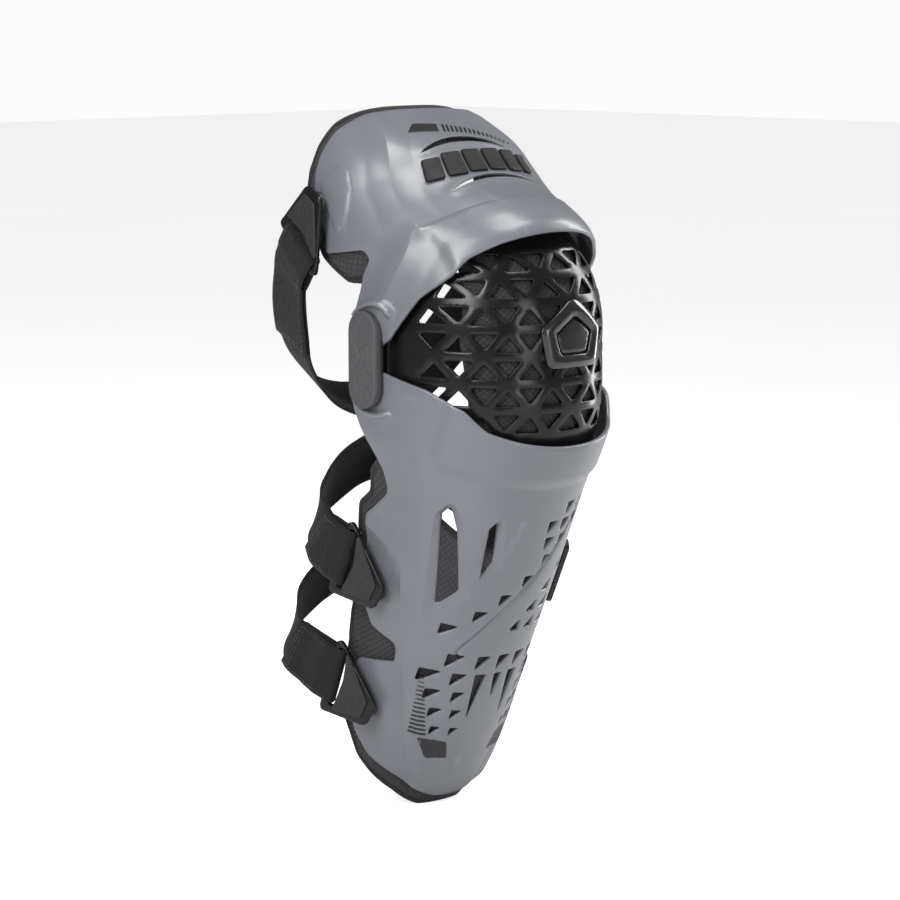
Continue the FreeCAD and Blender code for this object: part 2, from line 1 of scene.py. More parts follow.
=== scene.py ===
"""Looks of a hinged knee and shin guard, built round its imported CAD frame.

Lengths are millimetres until a mesh is made. A shell is drawn flat, in (s, h): s runs round the limb from the nose
and h runs along the limb away from the knee. A surface function then carries a flat sheet onto the leg.
"""

import json
import math

import bpy
import numpy as np
from mathutils import Matrix, Vector
from mathutils.geometry import delaunay_2d_cdt
from mathutils.kdtree import KDTree

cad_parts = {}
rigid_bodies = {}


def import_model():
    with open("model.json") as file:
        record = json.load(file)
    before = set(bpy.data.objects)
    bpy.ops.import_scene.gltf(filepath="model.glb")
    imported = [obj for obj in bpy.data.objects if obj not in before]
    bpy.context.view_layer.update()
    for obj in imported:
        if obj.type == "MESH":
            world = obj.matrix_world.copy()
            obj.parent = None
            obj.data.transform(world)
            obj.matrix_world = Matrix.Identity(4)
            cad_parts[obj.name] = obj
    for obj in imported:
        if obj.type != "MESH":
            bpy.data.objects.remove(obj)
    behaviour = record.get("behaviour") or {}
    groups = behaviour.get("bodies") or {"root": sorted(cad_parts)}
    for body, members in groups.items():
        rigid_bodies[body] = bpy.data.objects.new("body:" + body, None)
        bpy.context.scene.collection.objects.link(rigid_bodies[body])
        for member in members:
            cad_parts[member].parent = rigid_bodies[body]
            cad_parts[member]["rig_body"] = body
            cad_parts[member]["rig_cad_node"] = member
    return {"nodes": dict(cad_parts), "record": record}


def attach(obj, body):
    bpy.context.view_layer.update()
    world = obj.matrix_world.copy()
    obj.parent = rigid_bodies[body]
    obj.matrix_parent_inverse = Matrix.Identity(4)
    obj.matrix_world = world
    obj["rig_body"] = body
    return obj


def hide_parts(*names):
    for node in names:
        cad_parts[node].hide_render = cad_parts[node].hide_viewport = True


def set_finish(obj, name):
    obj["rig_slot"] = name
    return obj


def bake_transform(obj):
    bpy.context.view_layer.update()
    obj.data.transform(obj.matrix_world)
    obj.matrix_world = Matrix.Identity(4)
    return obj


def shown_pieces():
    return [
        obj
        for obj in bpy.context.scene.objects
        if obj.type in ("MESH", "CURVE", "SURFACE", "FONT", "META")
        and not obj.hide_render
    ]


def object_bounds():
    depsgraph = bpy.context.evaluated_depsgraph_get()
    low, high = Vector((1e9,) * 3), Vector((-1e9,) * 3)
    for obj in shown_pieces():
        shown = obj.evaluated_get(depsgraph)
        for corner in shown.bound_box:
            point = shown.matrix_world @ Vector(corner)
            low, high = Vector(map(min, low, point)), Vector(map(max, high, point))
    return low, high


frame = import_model()
cad_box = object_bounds()

MM = 0.001
PIVOT_HALF = 17.5          # half the distance between the two pivots of a hinge
ROUND = 120.0              # flat width of one quarter of a section, from its nose to its widest point
TAIL = 62.0                # flat width per unit of section position past the widest point
SHELL = 3.0
LINER_DEPTH = 3.6
LINER_T = 3.7
COVER_R = 14.2
CUP_R, CUP_HALF, CUP_POWER, CUP_SPAN = 104.0, 75.2, 2.25, 85.5 / 90
CUP_TUCK, CUP_TUCK_AT = 5.6, (8.0, 44.0)  # how far the cup's top curls in, and between which angles
STRAP_W, STRAP_T = 40.0, 2.2
CLIP_T, CLIP_FACE_T = 3.4, 1.2

# Leg sections: (h, value) for half width, nose ahead of the axis, where it is widest, and squareness.
THIGH = {
    "sign": 1, "tilt": -33.0,
    "power": [(-25, 2.2), (20, 2.2), (80, 2.3), (110, 2.6), (145, 3.0)],
    "half": [(-25, 81.5), (28, 81.5), (54, 86), (85, 86), (110, 82), (130, 74), (145, 65)],
    "nose": [(-25, 111), (10, 111), (24, 106.5), (40, 97), (60, 84), (80, 75), (100, 68), (120, 57), (145, 42)],
    "wide": [(-25, -3), (25, -6), (70, -8), (145, 0)],
}
SHIN = {
    "sign": -1, "tilt": 20.0,
    "power": [(-25, 2.2), (280, 2.2)],
    "half": [(-25, 81.5), (26, 81.5), (46, 76), (75, 70), (130, 63), (200, 58), (280, 49)],
    "nose": [(-25, 112), (0, 111), (24, 108.5), (34, 106), (100, 105), (180, 101), (240, 96), (280, 87)],
    "wide": [(-25, -3), (22, -8), (60, -26), (110, -36), (200, -40), (280, -42)],
}

# Side-view outlines as (y, h, corner radius), from the front of the lower or upper edge round the back.
THIGH_OUTLINE = [
    (-130, 5, 0), (-100, 6, 8), (-84, 5, 10), (-72, 0, 10), (-47, -2, 12), (-14, -13, 6), (2, -13, 12),
    (13, -3, 12), (12, 12, 8), (-7, 26, 10), (-15, 33, 6), (-27, 39, 4), (-26, 46, 3), (3, 60, 3),
    (-4, 72, 8), (-5, 94, 8), (-12, 110, 12), (-20, 121, 16), (-30, 131, 16), (-44, 137, 16), (-130, 138, 0),
]
SHIN_OUTLINE = [
    (-130, 0, 0), (-100, -3, 10), (-86, -5, 10), (-72, -14, 10), (-44, -17, 14), (-14, -14, 6), (4, -13, 12),
    (14, -1, 12), (10, 18, 10), (-25, 50, 14), (-31, 62, 8), (-14, 86, 3), (-18, 100, 12), (-20, 142, 14),
    (-36, 159, 8), (-60, 162, 5), (-61, 174, 4), (-30, 187, 5), (-37, 236, 12), (-54, 249, 16),
    (-80, 258, 20), (-92, 275, 20), (-130, 275, 0),
]
THIGH_LINER_OUTLINE = [
    (-130, 78, 0), (-92, 78, 10), (-62, 66, 14), (-30, 42, 8), (-14, 30, 3), (0, 38, 4), (9, 62, 10),
    (6, 98, 12), (-4, 116, 16), (-14, 129, 16), (-28, 139, 16), (-44, 143, 16), (-130, 143, 0),
]
SHIN_LINER_OUTLINE = [
    (-130, 78, 0), (-92, 78, 10), (-62, 62, 14), (-32, 44, 8), (-19, 42, 4), (-10, 56, 8), (-12, 72, 6),
    (-3, 84, 8), (-14, 164, 30), (-24, 234, 16), (-44, 257, 16), (-74, 269, 20), (-90, 282, 16), (-130, 282, 0),
]


# ---- flat outlines ----
def rounded(corners, step=1.5):
    """Dense closed polyline through (a, b, radius) corners, with an arc at each rounded one."""
    out = []
    n = len(corners)
    for i, (a, b, r) in enumerate(corners):
        p = np.array((a, b), float)
        back = np.array(corners[i - 1][:2]) - p
        ahead = np.array(corners[(i + 1) % n][:2]) - p
        la, lb = np.linalg.norm(back), np.linalg.norm(ahead)
        back, ahead = back / la, ahead / lb
        half = math.acos(np.clip(back @ ahead, -1, 1)) / 2
        if r <= 0 or half > math.radians(88):
            out.append(p)
            continue
        reach = min(r / math.tan(half), 0.48 * la, 0.48 * lb)
        start, end = p + back * reach, p + ahead * reach
        count = max(3, int(reach * 2 / step))
        for k in range(count + 1):
            t = k / count
            out.append((1 - t) ** 2 * start + 2 * t * (1 - t) * p + t * t * end)
    return resampled(np.array(out), step)


def resampled(loop, step):
    """A closed polyline with points every step or closer, keeping its own points."""
    out = []
    for a, b in zip(loop, np.roll(loop, -1, 0)):
        count = max(1, int(math.ceil(np.linalg.norm(b - a) / step)))
        out += [a + (b - a) * k / count for k in range(count)]
    out = np.array(out)
    gaps = np.linalg.norm(out - np.roll(out, 1, 0), axis=1)
    return out[gaps > 0.15 * step]


def turned(loop, counterclockwise):
    x, y = loop[:, 0], loop[:, 1]
    area = np.sum(x * np.roll(y, -1) - np.roll(x, -1) * y)
    return loop if (area > 0) == counterclockwise else loop[::-1]


def inset(loop, r):
    """The loop moved to its left by r."""
    before = loop - np.roll(loop, 1, 0)
    after = np.roll(loop, -1, 0) - loop
    before /= np.linalg.norm(before, axis=1)[:, None] + 1e-9
    after /= np.linalg.norm(after, axis=1)[:, None] + 1e-9
    left = np.stack([-(before + after)[:, 1], (before + after)[:, 0]], 1)
    length = np.linalg.norm(left, axis=1)[:, None] + 1e-9
    left /= length
    return loop + left * r / np.maximum(length / 2, 0.6)


def inside(points, loops):
    """Even-odd test of points against closed loops."""
    hit = np.zeros(len(points), bool)
    for loop in loops:
        for a, b in zip(loop, np.roll(loop, -1, 0)):
            if a[1] == b[1]:
                continue
            across = (points[:, 1] > a[1]) != (points[:, 1] > b[1])
            hit ^= across & (points[:, 0] < (b[0] - a[0]) * (points[:, 1] - a[1]) / (b[1] - a[1]) + a[0])
    return hit


def distance(points, line, closed=True):
    """Distance from each point to a polyline."""
    best = np.full(len(points), 1e9)
    ends = np.roll(line, -1, 0) if closed else line[1:]
    for a, b in zip(line, ends):
        d = b - a
        t = np.clip(((points - a) @ d) / max(d @ d, 1e-9), 0, 1)
        best = np.minimum(best, np.linalg.norm(points - a - t[:, None] * d, axis=1))
    return best


def smooth(t):
    t = np.clip(t, 0, 1)
    return t * t * (3 - 2 * t)


def disc(centre, radius, count=28):
    return np.array([
        (centre[0] + radius * math.cos(2 * math.pi * k / count),
         centre[1] + radius * math.sin(2 * math.pi * k / count))
        for k in range(count)
    ])


# ---- leg surfaces ----
def curve(h, points):
    """Smooth monotone interpolation through a few (h, value) points."""
    xs, ys = (np.array([p[k] for p in points], float) for k in (0, 1))
    h = np.clip(h, xs[0], xs[-1])
    slope = np.diff(ys) / np.diff(xs)
    a, b = slope[:-1], slope[1:]
    middle = np.where(a * b <= 0, 0, 2 * a * b / np.where(a + b == 0, 1, a + b))
    tangent = np.concatenate([slope[:1], middle, slope[-1:]])
    i = np.clip(np.searchsorted(xs, h, side="right") - 1, 0, len(xs) - 2)
    w = (xs[1:] - xs[:-1])[i]
    t = (h - xs[i]) / w
    return (
        (2 * t**3 - 3 * t**2 + 1) * ys[i] + (t**3 - 2 * t**2 + t) * w * tangent[i]
        + (3 * t**2 - 2 * t**3) * ys[i + 1] + (t**3 - t**2) * w * tangent[i + 1]
    )


def section(leg, s, h):
    """(x, y) on a leg section at flat position s."""
    half, nose, wide = (curve(h, leg[k]) for k in ("half", "nose", "wide"))
    power = 2 / curve(h, leg["power"])
    a = np.minimum(np.abs(s) / ROUND, 1) * math.pi / 2
    past = np.maximum(np.abs(s) - ROUND, 0)
    return np.sign(s) * half * np.sin(a) ** power, wide - (nose + wide) * np.cos(a) ** power + past


def s_at_x(leg, x, h):
    half = curve(h, leg["half"])
    power = curve(h, leg["power"]) / 2
    return np.sign(x) * np.arcsin(np.clip(np.abs(x) / half, 0, 1) ** power) / (math.pi / 2) * ROUND


def s_at_y(leg, y, h):
    """Flat position, on the positive side, of a side-view point."""
    nose, wide = curve(h, leg["nose"]), curve(h, leg["wide"])
    power = curve(h, leg["power"]) / 2
    ahead = np.clip((wide - y) / (nose + wide), 0, 1) ** power
    return np.where(y > wide, ROUND + y - wide, np.arccos(ahead) / (math.pi / 2) * ROUND)


def row_frame(leg, x, y, h):
    """Leg frame millimetres to row frame metres."""
    z = leg["sign"] * h
    c, s = math.cos(math.radians(leg["tilt"])), math.sin(math.radians(leg["tilt"]))
    return np.stack([x, y * c - z * s, y * s + z * c + leg["sign"] * PIVOT_HALF], -1) * MM


def leg_surface(leg, relief=None):
    """A function of (flat points, depth behind the outside) giving row frame points."""
    def surface(points, depth):
        s, h = points[:, 0], points[:, 1]
        if relief is not None:
            depth = depth - relief(points)
        x0, y0 = section(leg, s - 0.5, h)
        x1, y1 = section(leg, s + 0.5, h)
        x, y = section(leg, s, h)
        length = np.hypot(x1 - x0, y1 - y0)
        return row_frame(leg, x - (y1 - y0) / length * depth, y + (x1 - x0) / length * depth, h)
    return surface


def wrap_outline(leg, corners, step=2.0):
    """The flat outline of a part that wraps round the front, from half of its side view."""
    dense = rounded(corners, 0.8)
    dense = np.array([p for p in dense if p[0] > -128])
    start = int(np.argmin(np.abs(dense[:, 0] + 127) + (dense[:, 1] > dense[:, 1].mean()) * 1000))
    dense = np.roll(dense, -start, 0)
    ahead = dense[:, 0] > -curve(dense[:, 1], leg["nose"]) + 0.02
    dense = dense[ahead]
    right = np.stack([s_at_y(leg, dense[:, 0], dense[:, 1]), dense[:, 1]], 1)
    if right[0, 1] > right[-1, 1]:
        right = right[::-1]
    ends = [(0.0, right[0, 1])], [(0.0, right[-1, 1])]
    left = right[::-1] * (-1, 1)
    loop = np.concatenate([ends[0], right, ends[1], left])
    return turned(even(loop, step), True)


def even(loop, step):
    """A closed polyline resampled at even spacing."""
    closed = np.concatenate([loop, loop[:1]])
    along = np.concatenate([[0], np.cumsum(np.linalg.norm(np.diff(closed, axis=0), axis=1))])
    count = int(along[-1] / step)
    at = np.linspace(0, along[-1], count, endpoint=False)
    return np.stack([np.interp(at, along, closed[:, k]) for k in (0, 1)], 1)


# ---- sheets ----
def new_mesh(name, verts, faces, uv=None):
    mesh = bpy.data.meshes.new(name)
    mesh.from_pydata([tuple(v) for v in verts], [], faces)
    mesh.validate()
    mesh.update()
    for p in mesh.polygons:
        p.use_smooth = True
    if uv is not None:
        layer = mesh.uv_layers.new(name="flat")
        index = np.zeros(len(mesh.loops), int)
        mesh.loops.foreach_get("vertex_index", index)
        layer.data.foreach_set("uv", np.asarray(uv, float)[index].ravel())
    obj = bpy.data.objects.new(name, mesh)
    bpy.context.scene.collection.objects.link(obj)
    return obj


def flat_triangles(loops, step, guides=()):
    """Triangles filling the region inside loops[0] and outside the others. Returns points, triangles and, per
    loop, the indices of its points."""
    points = [p for loop in loops for p in loop]
    edges = []
    spans = []
    start = 0
    for loop in loops:
        n = len(loop)
        edges += [(start + k, start + (k + 1) % n) for k in range(n)]
        spans.append(range(start, start + n))
        start += n
    tree = KDTree(len(points))
    for k, p in enumerate(points):
        tree.insert((p[0], p[1], 0), k)
    tree.balance()
    low, high = loops[0].min(0), loops[0].max(0)
    rows = np.arange(low[1] + step / 2, high[1], step * 0.87)
    grid = [
        (x + (k % 2) * step / 2, y) for k, y in enumerate(rows) for x in np.arange(low[0], high[0], step)
    ]
    guide_points = [p for g in guides for p in g]
    near = KDTree(max(1, len(guide_points)))
    for k, p in enumerate(guide_points):
        near.insert((p[0], p[1], 0), k)
    near.balance()
    extra = []
    for p in guide_points:
        if tree.find((p[0], p[1], 0))[2] > 0.45 * step:
            extra.append(p)
    for p in grid:
        if tree.find((p[0], p[1], 0))[2] < 0.6 * step:
            continue
        if guide_points and near.find((p[0], p[1], 0))[2] < 0.5 * step:
            continue
        extra.append(p)
    extra = np.array(extra)
    if len(extra):
        extra = extra[inside(extra, loops)]
    everything = [Vector(p) for p in points] + [Vector(p) for p in extra]
    verts, _, faces, origin, _, _ = delaunay_2d_cdt(everything, edges, [], 0, 1e-5)
    where = {}
    for new, olds in enumerate(origin):
        for old in olds:
            where[old] = new
    flat = np.array([(v[0], v[1]) for v in verts])
    tri = np.array([f for f in faces if len(f) == 3])
    centre = flat[tri].mean(1)
    tri = tri[inside(centre, loops)]
    return flat, tri, [[where[k] for k in span] for span in spans]


def sheet(name, surface, outline, holes=(), thickness=SHELL, depth=0.0, edge=0.7, step=2.4, guides=(), flip=False):
    """A closed shell of even thickness with rounded edges, carried onto a surface."""
    outline = turned(np.asarray(outline), True)
    loops = [outline] + [turned(np.asarray(h), False) for h in holes]
    small = [inset(loop, edge) for loop in loops]
    flat, tri, spans = flat_triangles(small, step, guides)
    top = surface(flat, np.full(len(flat), depth))
    bottom = surface(flat, np.full(len(flat), depth + thickness))
    verts = [top, bottom]
    uv = [flat, flat]
    n = len(flat)
    faces = [tuple(t) for t in tri] + [tuple(t[::-1] + n) for t in tri]
    start = 2 * n
    rim = [(0.3, 0.3), (0.0, 1.0)]
    for loop, span in zip(loops, spans):
        rings = [np.array(span)]
        for shrink, down in rim:
            ring = inset(loop, edge * shrink)
            verts.append(surface(ring, np.full(len(ring), depth + edge * down)))
            uv.append(ring)
            rings.append(np.arange(len(ring)) + start)
            start += len(ring)
        for shrink, down in reversed(rim):
            ring = inset(loop, edge * shrink)
            verts.append(surface(ring, np.full(len(ring), depth + thickness - edge * down)))
            uv.append(ring)
            rings.append(np.arange(len(ring)) + start)
            start += len(ring)
        rings.append(np.array(span) + n)
        for a, b in zip(rings, rings[1:]):
            a1, b1 = np.roll(a, -1), np.roll(b, -1)
            faces += [tuple(q) for q in np.stack([a, b, b1, a1], 1)]
    if flip:
        faces = [f[::-1] for f in faces]
    return new_mesh(name, np.concatenate(verts), [tuple(int(i) for i in f) for f in faces],
                    np.concatenate(uv) * MM)


def crisp(obj, loops=(), lines=()):
    """Keep the shading sharp across the mesh edges that follow these flat loops and lines."""
    flat = np.empty(2 * len(obj.data.loops))
    obj.data.uv_layers[0].data.foreach_get("uv", flat)
    corner = np.empty(len(obj.data.loops), int)
    obj.data.loops.foreach_get("vertex_index", corner)
    place = np.zeros((len(obj.data.vertices), 2))
    place[corner] = flat.reshape(-1, 2) / MM
    ends = np.empty(2 * len(obj.data.edges), int)
    obj.data.edges.foreach_get("vertices", ends)
    ends = ends.reshape(-1, 2)
    sharp = np.zeros(len(ends), bool)
    for line, closed in [(a, True) for a in loops] + [(b, False) for b in lines]:
        near = distance(place, np.asarray(line, float), closed) < 0.3
        sharp |= near[ends[:, 0]] & near[ends[:, 1]]
    obj.data.edges.foreach_set("use_edge_sharp", sharp)
    return obj


# ---- knee cup surface ----
def cup_profile(s):
    a = np.clip(np.abs(s) / ROUND, 0, 1) * math.pi / 2
    p = 2 / CUP_POWER
    return np.sign(s) * CUP_HALF * np.sin(a) ** p, CUP_R * np.cos(a) ** p


def cup_surface(points, depth):
    """Swept about the upper pivot, straight between the pivots, and swept about the lower one."""
    s, t = points[:, 0], points[:, 1]
    x0, r0 = cup_profile(s - 0.5)
    x1, r1 = cup_profile(s + 0.5)
    x, r = cup_profile(s)
    length = np.hypot(x1 - x0, r1 - r0)
    x = x + (r1 - r0) / length * depth
    r = r - (x1 - x0) / length * depth
    over = np.maximum(np.abs(t) - PIVOT_HALF, 0) / CUP_R * np.sign(t)
    r = r * (1 - CUP_TUCK / CUP_R * smooth((np.degrees(over) - CUP_TUCK_AT[0]) / (CUP_TUCK_AT[1] - CUP_TUCK_AT[0])))
    level = np.clip(t, -PIVOT_HALF, PIVOT_HALF)
    return np.stack([x, -r * np.cos(over), level + r * np.sin(over)], -1) * MM


def cup_flat(s, z):
    """The flat point of the cup at profile position s and height z."""
    _, r = cup_profile(np.array([s], float))
    over = max(abs(z) - PIVOT_HALF, 0)
    return s, math.copysign(min(abs(z), PIVOT_HALF) + CUP_R * math.asin(min(over / r[0], 0.85)), z)


def clipped(polygon, limit):
    """The part of a polygon between s = -limit and s = limit."""
    for side in (1, -1):
        out = []
        for a, b in zip(polygon, polygon[1:] + polygon[:1]):
            ka, kb = limit - side * a[0], limit - side * b[0]
            if ka >= 0:
                out.append(a)
            if ka * kb < 0:
                t = ka / (ka - kb)
                out.append((a[0] + (b[0] - a[0]) * t, a[1] + (b[1] - a[1]) * t))
        polygon = out
    return polygon


CELL, ROW, STRUT = 29.5, 17.3, 5.6
LINE_0 = 22.6              # height of the strut line that crosses the middle of the emblem
LATTICE_REACH = 96.0


def lattice():
    """Triangular openings of the cup, alternately point up and point down."""
    cuts = []
    for row in range(-4, 3):
        low, high = LINE_0 + row * ROW, LINE_0 + (row + 1) * ROW
        slope = math.atan2(ROW, CELL / 2)
        back = STRUT / 2 / math.tan(slope / 2)
        for k in range(-7, 8):
            centre = k * CELL / 2
            up = (k + row) % 2 == 0
            base, tip = (low + STRUT / 2, high) if up else (high - STRUT / 2, low)
            half = CELL / 2 - back
            peak = base + math.copysign(half * math.tan(slope), tip - base)
            corners = clipped([(centre - half, base), (centre + half, base), (centre, peak)], LATTICE_REACH)
            if len(corners) < 3 or max(abs(c[1] - 10) for c in corners) > 68:
                continue
            span = max(c[0] for c in corners) - min(c[0] for c in corners)
            reach = cup_profile(np.array([abs(centre)]))[1][0]
            if span < 6 or max(abs(c[1]) for c in corners) - PIVOT_HALF > 0.7 * reach:
                continue
            loop = rounded([(a, b, 1.3) for a, b in corners], 1.2)
            cuts.append(np.array([cup_flat(a, b) for a, b in loop]))
    return cuts


# ---- relief on the shells ----
def both(line):
    line = np.asarray(line, float)
    return [line, line * (-1, 1)]


def on_front(leg, points):
    """Flat points of (x, h) places seen from the front."""
    p = np.asarray(points, float)
    return np.stack([s_at_x(leg, p[:, 0], p[:, 1]), p[:, 1]], 1)


def on_side(leg, points):
    """Flat points, on the positive side, of (y, h) places seen from the side."""
    p = np.asarray(points, float)
    return np.stack([s_at_y(leg, p[:, 0], p[:, 1]), p[:, 1]], 1)


def fold(points, line, height, width):
    """A crease: a straight-sided ridge along a line."""
    return height * np.maximum(0, 1 - distance(points, line, False) / width)


def plateau(points, loop, height, slope):
    gap = distance(points, loop) * np.where(inside(points, [loop]), 1, -1)
    return height * smooth(gap / slope)


def collar_relief(points, reach):
    """The lip on each ear round the end of the hinge cover, reaching so many degrees forwards and backwards."""
    out = np.zeros(len(points))
    for side in (1, -1):
        y = side * points[:, 0] - EAR_S
        away = points[:, 1]
        radius = np.hypot(y, away)
        around = np.degrees(np.arctan2(np.abs(y), -away))
        ring = smooth((radius - 15.0) / 0.7) * smooth((19.5 - radius) / 2.6)
        turn = (180 - around) * np.where(y < 0, 1, -1)
        out += 3.4 * ring * smooth((reach[0] - turn) / 8) * smooth((reach[1] + turn) / 8) * (side * points[:, 0] > 0)
    return out


EAR_S = float(s_at_y(THIGH, np.array([0.0]), np.array([0.0]))[0])

THIGH_CREASE = [(-44.4, 128), (-44.4, 115), (-66, 71), (-71, 40), (-100, 16), (-118, 2)]
THIGH_REAR_RIDGE = [(-70.8, 40), (-95, 26), (-108, 12)]
THIGH_PAD = [(-12, 66), (-14, 104), (-34, 106), (-39, 98), (-37, 84), (-22, 66)]


def thigh_relief(points):
    s, h = points[:, 0], points[:, 1]
    out = collar_relief(points, (100, 28))
    for line in both(THIGH_CREASE):
        out += fold(points, line, 2.7, 17)
    for line in both(THIGH_REAR_RIDGE):
        out += fold(points, line, 1.1, 9)
    band = 40.5 - (np.abs(s) / 70) ** 2 * 2.5
    out += 1.6 * smooth((band - h) / 1.4) * smooth((72 - np.abs(s)) / 8)
    for loop in both(on_side(THIGH, THIGH_PAD)):
        out += plateau(points, loop, 1.1, 2.2)
    for slot in THIGH_SLOTS:
        gap = distance(points, slot)
        out += 0.9 * np.maximum(0, 1 - gap / 5)
    return out


def lens(x, h, half, tall, bend):
    """A thin bowed slot: pointed at both ends."""
    top = [(x + half * t, h + bend * (1 - t * t) + tall * (1 - t * t) ** 0.8) for t in np.linspace(-1, 1, 24)]
    low = [(x + half * t, h + bend * (1 - t * t)) for t in np.linspace(1, -1, 24)[1:-1]]
    return np.array(top + low)


THIGH_SLOTS = [on_front(THIGH, lens(0, 92, 40, 5.0, 6)), on_front(THIGH, lens(0, 56, 42, 3.4, 7))]

SHIN_CREASE = [(-86, 40), (-87, 48), (-90, 81), (-89, 117), (-83, 145), (-75, 173), (-62, 212), (-50, 236),
               (-48, 262)]
SHIN_SIDE_CREASE = [(-154, 89), (-107, 100), (-104, 107), (-97, 140), (-85, 176), (-62, 246)]
GROOVE = [(-34, 160), (-36, 153), (2, 103), (31, 63), (42, 44)]


def big_vent():
    """The long slot each side: its opening, and the outline of the bevel that leads into it."""
    hole = [(-62.5, 60, 1), (-60.5, 53, 1), (-55, 68, 1), (-45.5, 110, 3), (-53, 124, 1)]
    rim = [(-64, 60, 2), (-60.5, 47, 3), (-53, 62, 3), (-38, 112, 5), (-55, 137, 3)]
    return hole, rim


def small_vent():
    hole = [(-39, 62, 0.8), (-35, 57, 0.8), (-33, 70, 1), (-31.5, 86, 1), (-36, 96, 0.8)]
    rim = [(-40, 62, 1.5), (-34, 50, 2), (-29.5, 62, 2), (-24.5, 88, 3), (-37, 102, 2)]
    return hole, rim


def corner_hole(x, h, size, way):
    """A small three-cornered vent; way is the corner where its two short sides meet."""
    a, b = way
    w, t = size
    return rounded([(x, h, 0.9), (x + a * w, h, 0.9), (x, h + b * t, 0.9)], 1.0)


def shin_corner_holes():
    """(x, h, size, way) of the rows of small vents, mirrored about the middle except for the diagonal fields."""
    holes = []
    upper = [(45, 40, (20, 33, 46)), (57, 45, (5, 19, 34)), (69, 50, (6, 21)), (82, 58, (9,)), (96, 60, (-4,)),
             (109, 60, (-19,)), (122, 60, (-33,)), (135, 60, (-48,))]
    for h, _, xs in upper:
        holes += [(x, h, (9.0, 8.5), (1, 1)) for x in xs]
    lower = [(80, (44,)), (94, (33, 46)), (107, (22, 36)), (120, (11, 25, 39)), (133, (0, 14, 28))]
    for h, xs in lower:
        holes += [(x + 5, h + 4, (-9.0, -8.5), (1, 1)) for x in xs]
    rows = [(156, (-40, -21, -4, 12, 28), 10.5), (170, (-50, -34, 30, 42), 10), (184, (-45, -30, 28, 40), 8.5),
            (198, (-40, -27, 26, 36), 7.5), (212, (-36, -24, 24, 33), 6.5)]
    for h, xs, size in rows:
        holes += [(x, h, (size, size), (1, 1)) for x in xs]
    return [on_front(SHIN, corner_hole(*hole)) for hole in holes]


def tall_slots():
    """Three tapering slots low on the nose of the shin."""
    pointed = [(-19, 170, 1), (-10, 170, 1), (-15, 206, 0.8)]
    short = [(-3.5, 170, 1), (3.5, 170, 1), (0.5, 190, 0.8)]
    mirrored = [(-a, b, r) for a, b, r in pointed]
    return [on_front(SHIN, rounded(p, 1.2)) for p in (pointed, short, mirrored)]


def vent_loops(vent):
    hole, rim = vent
    pairs = []
    for side in (1, -1):
        pairs.append(tuple(on_front(SHIN, rounded([(side * a, b, r) for a, b, r in c], 1.2)) for c in (hole, rim)))
    return pairs


def clear_of(vents, holes, gap=1.5):
    """The holes that keep a strip of shell between themselves and every vent's bevel."""
    kept = []
    for hole in holes:
        if all(distance(hole, rim).min() > gap and not inside(hole, [rim]).any() for _, rim in vents):
            kept.append(hole)
    return kept


# The small vent is on the clip side only.
SHIN_VENTS = vent_loops(big_vent()) + vent_loops(small_vent())[:1]
SHIN_HOLES = clear_of(SHIN_VENTS, shin_corner_holes()) + tall_slots()


def shin_relief(points):
    s, h = points[:, 0], points[:, 1]
    out = collar_relief(points, (62, 62))
    for line in both(SHIN_CREASE):
        out += fold(points, line, 2.8, 15)
    for line in both(SHIN_SIDE_CREASE):
        out += fold(points, line, 2.2, 12)
    out += 1.7 * smooth((31 - h) / 9) * smooth((84 - np.abs(s)) / 8)
    for hole, rim in SHIN_VENTS:
        into = inside(points, [rim])
        to_rim, to_hole = distance(points, rim), distance(points, hole)
        out -= np.where(into, 3.2 * to_rim / (to_rim + to_hole + 1e-6), 0)
    groove = on_front(SHIN, GROOVE)
    out -= 1.5 * smooth(1 - distance(points, groove, False) / 2.4)
    return out


def pivot_hole(side):
    return disc((side * EAR_S, 0), 4.05, 24)


def ring_guides():
    return [disc((side * EAR_S, 0), r, 60) for side in (1, -1) for r in (15, 15.7, 17, 18.2, 19.5)]


def thigh_shell():
    guides = ring_guides() + both(resample_open(THIGH_CREASE)) + both(resample_open(THIGH_REAR_RIDGE))
    band = [(s, 40.5 - (abs(s) / 70) ** 2 * 2.5 - k) for k in (0, 1.6) for s in np.arange(-78, 79, 2.0)]
    guides.append(np.array(band))
    for loop in both(on_side(THIGH, THIGH_PAD)):
        guides += [even(loop, 2), even(inset(turned(loop, True), 2.2), 2)]
    holes = THIGH_SLOTS + [pivot_hole(1), pivot_hole(-1)]
    skin = sheet("thigh_shell_skin", leg_surface(THIGH, thigh_relief), wrap_outline(THIGH, THIGH_OUTLINE), holes,
                 guides=guides, edge=0.8)
    return crisp(skin, both(on_side(THIGH, THIGH_PAD)), both(THIGH_CREASE) + [band[:len(band) // 2]])


def shin_shell():
    guides = ring_guides() + both(resample_open(SHIN_CREASE)) + both(resample_open(SHIN_SIDE_CREASE))
    guides += [rim for _, rim in SHIN_VENTS]
    groove = resample_open(on_front(SHIN, GROOVE), 1.5)
    guides += [groove, groove + (1.3, 1.0), groove - (1.3, 1.0), groove + (2.6, 2.0), groove - (2.6, 2.0)]
    guides.append(np.array([(s, k) for k in (22, 26.5, 31) for s in np.arange(-84, 85, 2.4)]))
    holes = [hole for hole, _ in SHIN_VENTS] + SHIN_HOLES + [pivot_hole(1), pivot_hole(-1)]
    skin = sheet("shin_shell_skin", leg_surface(SHIN, shin_relief), wrap_outline(SHIN, SHIN_OUTLINE), holes,
                 guides=guides, edge=0.8, flip=True)
    lines = both(SHIN_CREASE) + both(SHIN_SIDE_CREASE) + [groove, np.array([(-84, 31), (84, 31)])]
    return crisp(skin, [rim for _, rim in SHIN_VENTS], lines)


